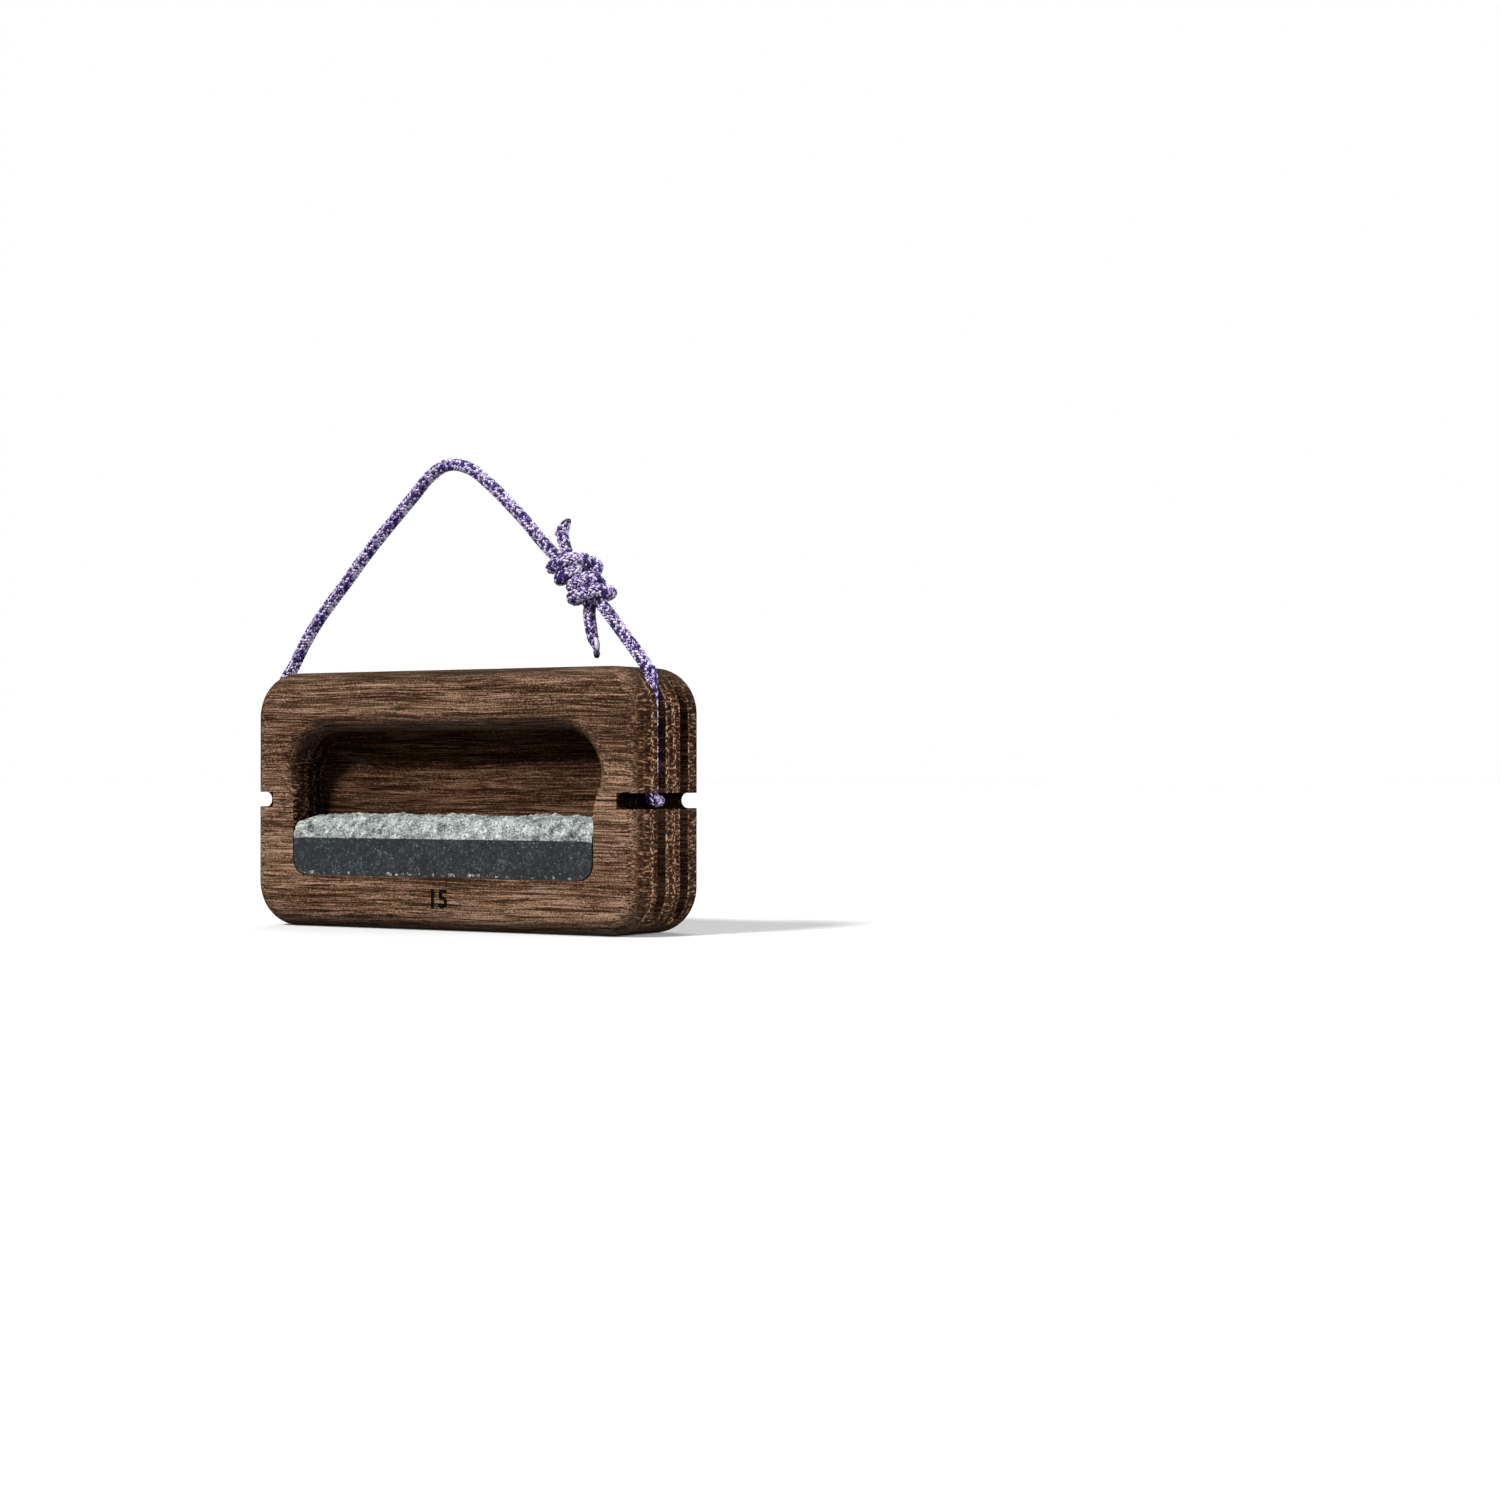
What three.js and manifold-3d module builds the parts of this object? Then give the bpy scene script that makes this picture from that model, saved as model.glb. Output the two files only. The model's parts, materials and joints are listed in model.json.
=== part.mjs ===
// A small portable hangboard: one block of dark oak with a finger pocket in its front and
// one in its rear, a bar of split stone bonded into the floor of each pocket as the
// holding edge, and a loop of cord that passes lengthwise through the block.
// Millimetres, +Z up, +X along the board, front face towards -Y, origin under its middle.
import * as THREE from 'three';
import { mergeVertices } from 'three/addons/utils/BufferGeometryUtils.js';
import Module from 'manifold-3d';

const wasm = await Module();
wasm.setup();

// Driving dimensions of the wooden block
const boardWidth = 148;
const boardHeight = 80;
const boardThickness = 35;
const boardCornerRadius = 14;
const boardEdgeRadius = 6;

// Driving dimensions of the two finger pockets
const pocketWidth = 114.4;
const lowerRail = 16.3;
const upperRail = 18.8;
const pocketUpperRadius = 14;
const pocketLowerRadius = 5;
const frontPocketDepth = 15;
const rearPocketDepth = 10;
const pocketRimRadius = 6.5;
const rimRunOutLength = 15;

// Driving dimensions of the stone bars and of the adhesive under and behind them
const stoneFaceHeight = 11.8;
const stoneLipRise = 6.2;
const stoneLipDepth = 4.6;
const stoneTopRise = 0.7;
const stoneSideGap = 0.4;
const adhesiveThickness = 0.4;
const adhesiveBackHeight = 14;

// Driving dimensions of the channels that hold the cord
const cordDiameter = 4;
const grooveWidth = 4.4;
const grooveDepth = 5.8;
const grooveSpacing = 12.3;
const notchHeight = 4.6;
const notchDepth = 8;
const boreDiameter = 5;
const reliefDiameter = 5.4;
const reliefDepth = 3;

// How far every cutter runs past the face that it opens
const cutOverrun = 2;

// Driving dimensions of the cord's knot, where the cord is squeezed thinner
const knotWrapPitch = 3.7;
const knotWrapDiameter = 3.2;
const knotCoreDiameter = 2.8;
const knotLayerGap = 0.56;

// The gap between the cord in the board and the loop that swings, and a tail's last radius
const swingClearance = 0.3;
const tailEndShare = 0.6;

// Spacings of the cord's stations: in the run the board holds, in the open and in a wrap
const heldSpacing = 3.6;
const freeSpacing = 4.5;
const wrapSpacing = 1.2;

// Facet counts
const cornerSteps = 9;
const edgeSteps = 5;
const rimSteps = 5;
const runOutSteps = 7;
const boreSides = 16;
const lipSteps = 7;
const cordSides = 8;
const domeSteps = 3;
const wrapPointsPerTurn = 12;

// Places that follow from the sizes above
const frontFace = -boardThickness / 2;
const rearFace = boardThickness / 2;
const pocketFloorHeight = lowerRail;
const pocketCeilingHeight = boardHeight - upperRail;
const frontPocketBack = frontFace + frontPocketDepth;
const rearPocketBack = rearFace - rearPocketDepth;
const boreCentreY = (frontPocketBack + rearPocketBack) / 2;
const boreHeight = boardHeight / 2;
const cordPlaneY = -grooveSpacing / 2;

// A closed outline in the XZ plane, each point with its outward direction.
function roundedOutline(halfWidth, low, high, lowerRadius, upperRadius, sideHeights) {
  const outline = [];
  const corners = [
    { x: halfWidth - lowerRadius, z: low + lowerRadius, radius: lowerRadius, start: -Math.PI / 2 },
    { x: halfWidth - upperRadius, z: high - upperRadius, radius: upperRadius, start: 0 },
    { x: -halfWidth + upperRadius, z: high - upperRadius, radius: upperRadius, start: Math.PI / 2 },
    { x: -halfWidth + lowerRadius, z: low + lowerRadius, radius: lowerRadius, start: Math.PI },
  ];
  corners.forEach((corner, index) => {
    for (let step = 0; step <= cornerSteps; step += 1) {
      const angle = corner.start + (Math.PI / 2) * (step / cornerSteps);
      const outX = Math.cos(angle);
      const outZ = Math.sin(angle);
      outline.push({
        x: corner.x + corner.radius * outX,
        z: corner.z + corner.radius * outZ,
        outX,
        outZ,
      });
    }
    if (index === 0) {
      sideHeights.forEach((z) => outline.push({ x: halfWidth, z, outX: 1, outZ: 0 }));
    }
    if (index === 2) {
      [...sideHeights].reverse().forEach((z) => outline.push({ x: -halfWidth, z, outX: -1, outZ: 0 }));
    }
  });
  return outline;
}

// A closed skin through rings of equally many points, flat at its first and last ring.
function loftGeometry(rings) {
  const count = rings[0].length;
  const positions = rings.flat().flatMap((point) => [point.x, point.y, point.z]);
  const triangles = [];
  for (let ring = 0; ring < rings.length - 1; ring += 1) {
    for (let i = 0; i < count; i += 1) {
      const next = (i + 1) % count;
      const a = ring * count + i;
      const b = ring * count + next;
      triangles.push(a, b, b + count, a, b + count, a + count);
    }
  }
  const last = (rings.length - 1) * count;
  for (let i = 1; i < count - 1; i += 1) {
    triangles.push(0, i + 1, i);
    triangles.push(last, last + i, last + i + 1);
  }
  const geometry = new THREE.BufferGeometry();
  geometry.setAttribute('position', new THREE.Float32BufferAttribute(positions, 3));
  geometry.setIndex(triangles);
  return geometry;
}

// A solid for cutting and joining, from a closed three.js geometry.
function solidFrom(geometry) {
  const bare = geometry.clone();
  bare.deleteAttribute('normal');
  bare.deleteAttribute('uv');
  const merged = mergeVertices(bare);
  const index = Array.from(merged.index.array);
  const kept = [];
  for (let i = 0; i < index.length; i += 3) {
    const [a, b, c] = index.slice(i, i + 3);
    if (a !== b && b !== c && c !== a) kept.push(a, b, c);
  }
  return new wasm.Manifold(new wasm.Mesh({
    numProp: 3,
    vertProperties: Float32Array.from(merged.attributes.position.array),
    triVerts: Uint32Array.from(kept),
  }));
}

// A three.js geometry from a finished solid.
function geometryFrom(solid) {
  const mesh = solid.getMesh();
  const geometry = new THREE.BufferGeometry();
  geometry.setAttribute('position', new THREE.BufferAttribute(mesh.vertProperties, 3));
  geometry.setIndex(new THREE.BufferAttribute(mesh.triVerts, 1));
  geometry.computeVertexNormals();
  return geometry;
}

// The uncut block: a rounded rectangle whose front and rear edges are rounded over.
function blockSolid() {
  const outline = roundedOutline(
    boardWidth / 2, 0, boardHeight, boardCornerRadius, boardCornerRadius, [],
  );
  const rings = [];
  const addRing = (y, inset) => rings.push(outline.map((point) => ({
    x: point.x - point.outX * inset,
    y,
    z: point.z - point.outZ * inset,
  })));
  for (let step = 0; step <= edgeSteps; step += 1) {
    const angle = (Math.PI / 2) * (step / edgeSteps);
    const inset = boardEdgeRadius * (1 - Math.sin(angle));
    addRing(rearFace - boardEdgeRadius * (1 - Math.cos(angle)), inset);
  }
  for (let step = edgeSteps; step >= 0; step -= 1) {
    const angle = (Math.PI / 2) * (step / edgeSteps);
    const inset = boardEdgeRadius * (1 - Math.sin(angle));
    addRing(frontFace + boardEdgeRadius * (1 - Math.cos(angle)), inset);
  }
  return solidFrom(loftGeometry(rings));
}

// Heights up a pocket's side walls between which its rounded rim runs out to nothing.
const rimRunOutLow = pocketFloorHeight + adhesiveThickness + stoneFaceHeight;
const rimRunOutHigh = rimRunOutLow + rimRunOutLength;

// Full rim above the run-out, none below it, with a smooth start and end.
function rimShareAt(height) {
  const along = (height - rimRunOutLow) / rimRunOutLength;
  return THREE.MathUtils.smootherstep(along, 0, 1);
}

// One finger pocket, cut from the front face to the given depth. Its rim is rounded over
// along the ceiling and the upper sides, and stays sharp beside the stone.
function pocketCutter(depth) {
  const sideHeights = [];
  for (let step = 0; step <= runOutSteps; step += 1) {
    const share = step / runOutSteps;
    sideHeights.push(THREE.MathUtils.lerp(rimRunOutLow, rimRunOutHigh, share));
  }
  const outline = roundedOutline(
    pocketWidth / 2, pocketFloorHeight, pocketCeilingHeight,
    pocketLowerRadius, pocketUpperRadius,
    sideHeights.filter((z) => z < pocketCeilingHeight - pocketUpperRadius),
  );
  const ringAt = (sinkShare, spreadShare, extra) => outline.map((point) => {
    const radius = pocketRimRadius * rimShareAt(point.z);
    return {
      x: point.x + point.outX * radius * spreadShare,
      y: frontFace + radius * sinkShare + extra,
      z: point.z + point.outZ * radius * spreadShare,
    };
  });
  const rings = [ringAt(0, 0, depth).map((point) => ({ ...point, y: frontFace + depth }))];
  for (let step = rimSteps; step >= 0; step -= 1) {
    const angle = (Math.PI / 2) * (step / rimSteps);
    rings.push(ringAt(1 - Math.cos(angle), 1 - Math.sin(angle), 0));
  }
  rings.push(ringAt(0, 1, -cutOverrun));
  return solidFrom(loftGeometry(rings));
}

// A channel's section: straight sides from an open mouth to a full-round bottom.
function channelShape(bottom, mouth, width) {
  const radius = width / 2;
  const shape = new THREE.Shape();
  shape.moveTo(mouth, -radius);
  shape.lineTo(mouth, radius);
  shape.lineTo(bottom + radius, radius);
  shape.absarc(bottom + radius, 0, radius, Math.PI / 2, (3 * Math.PI) / 2, false);
  return shape;
}

// The two upright cord grooves in the right end, from the base to the top.
function grooveCutters() {
  const shape = channelShape(boardWidth / 2 - grooveDepth, boardWidth / 2 + cutOverrun, grooveWidth);
  const length = boardHeight + 2 * cutOverrun;
  return [-grooveSpacing / 2, grooveSpacing / 2].map((y) => {
    const groove = new THREE.ExtrudeGeometry(shape, {
      depth: length, bevelEnabled: false, curveSegments: cornerSteps,
    });
    groove.translate(0, y, -cutOverrun);
    return solidFrom(groove);
  });
}

// The level notch in the right end, from the front face to the rear face.
function notchCutter() {
  const shape = channelShape(boardWidth / 2 - notchDepth, boardWidth / 2 + cutOverrun, notchHeight);
  const notch = new THREE.ExtrudeGeometry(shape, {
    depth: boardThickness + 2 * cutOverrun, bevelEnabled: false, curveSegments: cornerSteps,
  });
  notch.rotateX(Math.PI / 2);
  notch.translate(0, rearFace + cutOverrun, boreHeight);
  return solidFrom(notch);
}

// The lengthwise cord bore, from the bottom of one notch to the bottom of the other.
function boreCutter() {
  const length = boardWidth - 2 * notchDepth + 2 * cutOverrun;
  const bore = new THREE.CylinderGeometry(boreDiameter / 2, boreDiameter / 2, length, boreSides);
  bore.rotateZ(Math.PI / 2);
  bore.translate(0, boreCentreY, boreHeight);
  return solidFrom(bore);
}

// The shallow round relief at the inner end of the right notch, in the front face.
function reliefCutter() {
  const relief = new THREE.CylinderGeometry(
    reliefDiameter / 2, reliefDiameter / 2, reliefDepth + cutOverrun, boreSides,
  );
  const centreX = boardWidth / 2 - notchDepth + reliefDiameter / 2;
  relief.translate(centreX, frontFace + (reliefDepth - cutOverrun) / 2, boreHeight);
  return solidFrom(relief);
}

function woodBoardGeometry() {
  let board = blockSolid();
  board = board.subtract(pocketCutter(frontPocketDepth));
  board = board.subtract(pocketCutter(rearPocketDepth).rotate([0, 0, 180]));
  const endCutters = [...grooveCutters(), notchCutter()];
  endCutters.forEach((cutter) => {
    board = board.subtract(cutter);
    board = board.subtract(cutter.rotate([0, 0, 180]));
  });
  board = board.subtract(boreCutter());
  board = board.subtract(reliefCutter());
  return geometryFrom(board);
}

// A stone bar for the front pocket of the given depth: a honed face flush with the board,
// and above it a rough lip that rolls back to a nearly level top.
function stoneSolid(depth) {
  const back = frontFace + depth - adhesiveThickness;
  const low = pocketFloorHeight + adhesiveThickness;
  const faceTop = low + stoneFaceHeight;
  const lipTop = faceTop + stoneLipRise;
  const profile = new THREE.Shape();
  profile.moveTo(frontFace, low);
  profile.lineTo(frontFace, faceTop);
  for (let step = 1; step <= lipSteps; step += 1) {
    const angle = (Math.PI / 2) * (step / lipSteps);
    const y = frontFace + stoneLipDepth * (1 - Math.cos(angle));
    profile.lineTo(y, faceTop + stoneLipRise * Math.sin(angle));
  }
  profile.lineTo(back, lipTop + stoneTopRise);
  profile.lineTo(back, low);
  const stoneWidth = pocketWidth - 2 * stoneSideGap;
  const bar = new THREE.ExtrudeGeometry(profile, { depth: stoneWidth, bevelEnabled: false });
  // The section is drawn in Y and Z and drawn out along X.
  bar.rotateX(Math.PI / 2);
  bar.rotateZ(Math.PI / 2);
  bar.translate(-stoneWidth / 2, 0, 0);
  const cornerRadius = pocketLowerRadius - stoneSideGap;
  const outline = roundedOutline(
    stoneWidth / 2, low, lipTop + stoneTopRise + cutOverrun, cornerRadius, cornerRadius, [],
  );
  const ringAt = (y) => outline.map((point) => ({ x: point.x, y, z: point.z }));
  const envelope = loftGeometry([ringAt(back + cutOverrun), ringAt(frontFace - cutOverrun)]);
  return solidFrom(bar).intersect(solidFrom(envelope));
}

// The adhesive bed of a stone bar: a thin angle under the stone and up behind it.
function adhesiveSolid(depth) {
  const back = frontFace + depth;
  const low = pocketFloorHeight;
  const profile = new THREE.Shape();
  profile.moveTo(frontFace + adhesiveThickness, low);
  profile.lineTo(back, low);
  profile.lineTo(back, low + adhesiveBackHeight);
  profile.lineTo(back - adhesiveThickness, low + adhesiveBackHeight);
  profile.lineTo(back - adhesiveThickness, low + adhesiveThickness);
  profile.lineTo(frontFace + adhesiveThickness, low + adhesiveThickness);
  const width = pocketWidth - 2 * pocketLowerRadius;
  const bed = new THREE.ExtrudeGeometry(profile, { depth: width, bevelEnabled: false });
  bed.rotateX(Math.PI / 2);
  bed.rotateZ(Math.PI / 2);
  bed.translate(-width / 2, 0, 0);
  return solidFrom(bed);
}

// How far into its first step a tube's round end begins, so that it closes on a small flat.
const domeStartShare = 1 / 4;

// A closed tube through stations with a place and a radius each. Its section is carried
// along without twist; the ends are flat unless a dome is asked for at the start.
function tubeGeometry(stations, sides, domeAtStart) {
  const places = stations.map((station) => station.place);
  const tangents = places.map((place, i) => {
    const before = places[Math.max(i - 1, 0)];
    const after = places[Math.min(i + 1, places.length - 1)];
    return after.clone().sub(before).normalize();
  });
  const sideways = new THREE.Vector3(0, 1, 0);
  let normal = sideways.clone().addScaledVector(tangents[0], -sideways.dot(tangents[0])).normalize();
  const rings = [];
  const addRing = (place, tangent, radius) => {
    const binormal = tangent.clone().cross(normal);
    rings.push(Array.from({ length: sides }, (unused, side) => {
      const angle = (2 * Math.PI * side) / sides;
      return place.clone()
        .addScaledVector(normal, radius * Math.cos(angle))
        .addScaledVector(binormal, radius * Math.sin(angle));
    }));
  };
  if (domeAtStart) {
    for (let step = 0; step < domeSteps; step += 1) {
      const angle = (Math.PI / 2) * ((step + domeStartShare) / domeSteps);
      const place = places[0].clone().addScaledVector(tangents[0], -stations[0].radius * Math.cos(angle));
      addRing(place, tangents[0], stations[0].radius * Math.sin(angle));
    }
  }
  stations.forEach((station, i) => {
    if (i > 0) {
      const turn = new THREE.Quaternion().setFromUnitVectors(tangents[i - 1], tangents[i]);
      normal.applyQuaternion(turn);
      normal.addScaledVector(tangents[i], -normal.dot(tangents[i])).normalize();
    }
    addRing(station.place, tangents[i], station.radius);
  });
  return loftGeometry(rings);
}

const spot = (x, y, z) => new THREE.Vector3(x, y, z);

// The cord's route, chosen by hand. Down from the pivot, where the loop swings, over the
// end of the groove: in from the end face, and over the board's top.
const overTopRoute = [
  [7.35, 2.5], [4.9, -0.42], [4.15, -1.32], [3.78, -1.96], [3.65, -3.0], [3.6, -5.0], [3.55, -9.0],
];

// Down the groove: in from the end face, and the share of the way to the notch.
const downGrooveRoute = [[3.55, 0.27], [3.55, 0.59], [3.55, 0.86]];

// Round in the notch and into the bore: in from the end face, the share of the way back
// from the groove to the bore, and over the middle of the notch.
const intoBoreRoute = [
  [3.55, 0, 5.4], [3.57, 0.003, 3.2], [3.7, 0.058, 1.2], [4.1, 0.225, 0.15], [4.6, 0.48, 0],
  [5.5, 0.757, 0], [7.0, 0.954, 0], [9.5, 1, 0], [14.0, 1, 0],
];

// Along the bore to its middle: shares of the last place's distance from the middle.
const alongBoreShares = [0.75, 0.5, 0.25, 0];

// The free loop in the plane of the front grooves, each strand from its pivot to the knot,
// the left one over the top of the loop: in shares of a pivot's distance from the middle,
// and over the board's top.
const leftLoopRoute = [
  [-1, 2.5], [-0.9662, 6.2], [-0.9092, 11.7], [-0.8432, 17.3], [-0.7577, 23.3],
  [-0.6677, 29.4], [-0.5581, 37.1], [-0.4141, 46.2], [-0.2836, 54.1], [-0.183, 60.3],
  [-0.102, 63.3], [-0.027, 63.7], [0.0735, 61.5], [0.1605, 57.3], [0.2761, 50.7], [0.3826, 44],
  [0.4591, 38.7], [0.5161, 35.1],
];
const rightLoopRoute = [
  [1, 2.5], [0.9632, 5.4], [0.9167, 9], [0.8717, 12.5], [0.8267, 16],
];

// The knot's middle, in the same way, and its axis from its upper left to its lower right.
const [pivotInset] = overTopRoute[0];
const pivotX = boardWidth / 2 - pivotInset;
const knotMiddle = [0.6632, 26.6];
const knotCentre = spot(knotMiddle[0] * pivotX, cordPlaneY, boardHeight + knotMiddle[1]);
const knotAxis = spot(0.616, 0, -0.788).normalize();
const knotAcross = spot(0.788, 0, 0.616).normalize();
const knotForward = spot(0, -1, 0);

// Tails past the knot, as distances along its axis and across it.
const lowerTailRoute = [
  [10.6, -3.3], [14.0, -5.3], [17.7, -7.0], [20.1, -7.6], [22.1, -8.8],
];
const upperTailRoute = [
  [-13.2, 3.2], [-15.2, 4.5], [-15.9, 6.3], [-16.2, 7.6],
];

// The double fisherman's bend. Each strand runs straight through the other's half, rises
// through the gap between the halves, rides over its own wraps at the back to their outer
// end, wraps back towards the middle round both cores, and leaves through its own wraps.
const coreOffset = (knotCoreDiameter + knotLayerGap) / 2;
const wrapRadius = knotCoreDiameter / 2 + knotLayerGap + knotWrapDiameter / 2;
const layerStep = knotWrapDiameter + knotLayerGap;
const wrapTurns = 1;
const lastTurnShare = 1 / 4;
const innerWrapShare = 0.99;
const outerWrapShare = innerWrapShare + wrapTurns;
const coreTurnShare = 0.7;

// How far along the axis the wraps lean for each step across it.
const knotLean = 0.25;

// Shares for the stations of one strand, in order. Through the other's core, and at the
// end through its own, in wrap pitches along. Riding: angle in degrees, pitches along and
// share of a layer. Tucking in: pitches along, core offsets across, wrap radii forward.
const coreInShares = [-2.35, -1.7, -1.0, -0.42];
const rideShares = [
  [238, 0.13, 0.05], [244, 0.42, 0.7], [256, 0.8, 1], [274, 1.22, 1], [298, 1.66, 0.95],
  [330, 1.93, 0.5], [358, 2.03, 0.14],
];
const tuckShares = [[0.52, 1.35, 0.72], [0.6, 1.4, 0.3], [0.95, 1, 0.03]];
const coreOutShares = [1.5, 2.35];

// A place in the knot, from distances along, across and forward.
function knotPlace(along, across, forward) {
  return knotCentre.clone()
    .addScaledVector(knotAxis, along)
    .addScaledVector(knotAcross, across)
    .addScaledVector(knotForward, forward);
}

// A place on a layer of wraps round the two cores. Its section is a long round, which
// passes from one core's side to the other's within coreTurnShare of the middle.
function wrapPlace(angle, along, layer) {
  const radius = wrapRadius + layerStep * layer;
  const side = 2 * THREE.MathUtils.smoothstep(Math.cos(angle), -coreTurnShare, coreTurnShare) - 1;
  return [along, radius * Math.cos(angle) + coreOffset * side, radius * Math.sin(angle)];
}

// A strand's way through the knot, as places with radii. The right strand's is the left
// one's turned half round about the forward axis.
function strandThroughKnot(turned) {
  const core = -coreOffset;
  const coreRadius = knotCoreDiameter / 2;
  const wrapTubeRadius = knotWrapDiameter / 2;
  const way = [];
  const add = ([along, across, forward], radius) => way.push({ along, across, forward, radius });
  coreInShares.forEach((share) => add([share * knotWrapPitch, core, 0], coreRadius));
  rideShares.forEach(([degrees, share, layer]) => {
    const angle = THREE.MathUtils.degToRad(degrees);
    add(wrapPlace(angle, share * knotWrapPitch, layer), wrapTubeRadius);
  });
  const wrapPoints = Math.round(wrapPointsPerTurn * (wrapTurns + lastTurnShare));
  for (let i = 1; i <= wrapPoints; i += 1) {
    const turns = i / wrapPointsPerTurn;
    const along = (outerWrapShare - turns) * knotWrapPitch;
    add(wrapPlace(2 * Math.PI * turns, along, 0), wrapTubeRadius);
  }
  tuckShares.forEach(([share, across, forward]) => {
    add([share * knotWrapPitch, across * core, forward * wrapRadius], coreRadius);
  });
  coreOutShares.forEach((share) => add([share * knotWrapPitch, core, 0], coreRadius));
  const sign = turned ? -1 : 1;
  return way.map(({ along, across, forward, radius }) => ({
    place: knotPlace(sign * (along + knotLean * across), sign * across, forward),
    radius,
    inKnot: true,
  }));
}

// A whole strand: its free leg, its way through the knot and its tail.
function strandWay(loopRoute, turned, tailRoute) {
  const radius = cordDiameter / 2;
  const leg = loopRoute.map(([share, rise]) => ({
    place: spot(share * pivotX, cordPlaneY, boardHeight + rise),
    radius,
    inKnot: false,
  }));
  const tail = tailRoute.map(([along, across], i) => ({
    place: knotPlace(along, across, 0),
    radius: i < tailRoute.length - 1 ? radius : radius * tailEndShare,
    inKnot: false,
  }));
  return [...leg, ...strandThroughKnot(turned), ...tail];
}

// Stations for a tube on one smooth curve through a way's places, closer in the knot.
function stationsOn(way, openSpacing, knotSpacing) {
  const curve = new THREE.CatmullRomCurve3(way.map((stop) => stop.place), false, 'centripetal');
  const stations = [];
  const last = way.length - 1;
  for (let i = 0; i < last; i += 1) {
    const span = way[i].place.distanceTo(way[i + 1].place);
    const spacing = way[i].inKnot && way[i + 1].inKnot ? knotSpacing : openSpacing;
    const steps = Math.max(1, Math.round(span / spacing));
    for (let step = 0; step < steps; step += 1) {
      const share = step / steps;
      stations.push({
        place: curve.getPoint((i + share) / last),
        radius: THREE.MathUtils.lerp(way[i].radius, way[i + 1].radius, share),
      });
    }
  }
  stations.push({ place: way[last].place.clone(), radius: way[last].radius });
  return stations;
}

// The right half of the run that the board holds, from its pivot to the bore's middle.
function heldPlaces() {
  const endFace = boardWidth / 2;
  const overTop = overTopRoute.map(([inset, rise]) => spot(endFace - inset, cordPlaneY, boardHeight + rise));
  const intoBore = intoBoreRoute.map(([inset, share, rise]) => {
    const y = THREE.MathUtils.lerp(cordPlaneY, boreCentreY, share);
    return spot(endFace - inset, y, boreHeight + rise);
  });
  const grooveTop = overTop.at(-1).z;
  const grooveFoot = intoBore[0].z;
  const downGroove = downGrooveRoute.map(([inset, share]) => {
    const z = THREE.MathUtils.lerp(grooveTop, grooveFoot, share);
    return spot(endFace - inset, cordPlaneY, z);
  });
  const boreMouth = intoBore.at(-1);
  const alongBore = alongBoreShares.map((share) => spot(boreMouth.x * share, boreMouth.y, boreMouth.z));
  return [...overTop, ...downGroove, ...intoBore, ...alongBore];
}

// The run that the board holds, from one end's swing pivot through the bore to the other.
// It stops short of each pivot by the strand's round end and a small clearance.
function heldRunWay() {
  const half = heldPlaces();
  const [pivot, next] = half;
  const reach = cordDiameter / 2 + swingClearance;
  half[0] = pivot.clone().add(next.clone().sub(pivot).setLength(reach));
  const mirrored = half.slice(0, -1).map(({ x, y, z }) => spot(-x, y, z));
  return [...half, ...mirrored.reverse()]
    .map((place) => ({ place, radius: cordDiameter / 2, inKnot: false }));
}

// Two stations on one tube count as joined up to this share of both their radii apart.
const joinedStretchShare = 1.6;

// The least gap from a tube's surface to itself, leaving out stretches that join.
function leastSelfGap(stations) {
  let along = 0;
  const lengths = stations.map((station, i) => {
    if (i > 0) along += station.place.distanceTo(stations[i - 1].place);
    return along;
  });
  let least = Infinity;
  stations.forEach((a, i) => stations.slice(i + 1).forEach((b, k) => {
    const apart = lengths[i + 1 + k] - lengths[i];
    if (apart < joinedStretchShare * (a.radius + b.radius)) return;
    least = Math.min(least, a.place.distanceTo(b.place) - a.radius - b.radius);
  }));
  return least;
}

// The least gap between the surfaces of two tubes.
function leastGapBetween(first, second) {
  return Math.min(...first.flatMap((a) => second.map(
    (b) => a.place.distanceTo(b.place) - a.radius - b.radius,
  )));
}

const finish = {
  oak: new THREE.MeshStandardMaterial({ color: 0x4a3226, roughness: 0.72, metalness: 0 }),
  stone: new THREE.MeshStandardMaterial({ color: 0x5d666d, roughness: 0.85, metalness: 0 }),
  adhesive: new THREE.MeshStandardMaterial({ color: 0x2a2622, roughness: 0.5, metalness: 0 }),
  cord: new THREE.MeshStandardMaterial({ color: 0x7a63a8, roughness: 0.9, metalness: 0 }),
};

const hangboard = new THREE.Group();
const turnedToRear = new THREE.Group();
turnedToRear.rotation.z = Math.PI;
hangboard.add(turnedToRear);

function addPiece(group, name, geometry, material) {
  const mesh = new THREE.Mesh(geometry, material);
  mesh.name = name;
  group.add(mesh);
}

addPiece(hangboard, 'wood_board', woodBoardGeometry(), finish.oak);
[
  { group: hangboard, side: 'front', depth: frontPocketDepth },
  { group: turnedToRear, side: 'rear', depth: rearPocketDepth },
].forEach(({ group, side, depth }) => {
  addPiece(group, `${side}_stone_bar`, geometryFrom(stoneSolid(depth)), finish.stone);
  addPiece(group, `${side}_adhesive_bed`, geometryFrom(adhesiveSolid(depth)), finish.adhesive);
});

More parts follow.
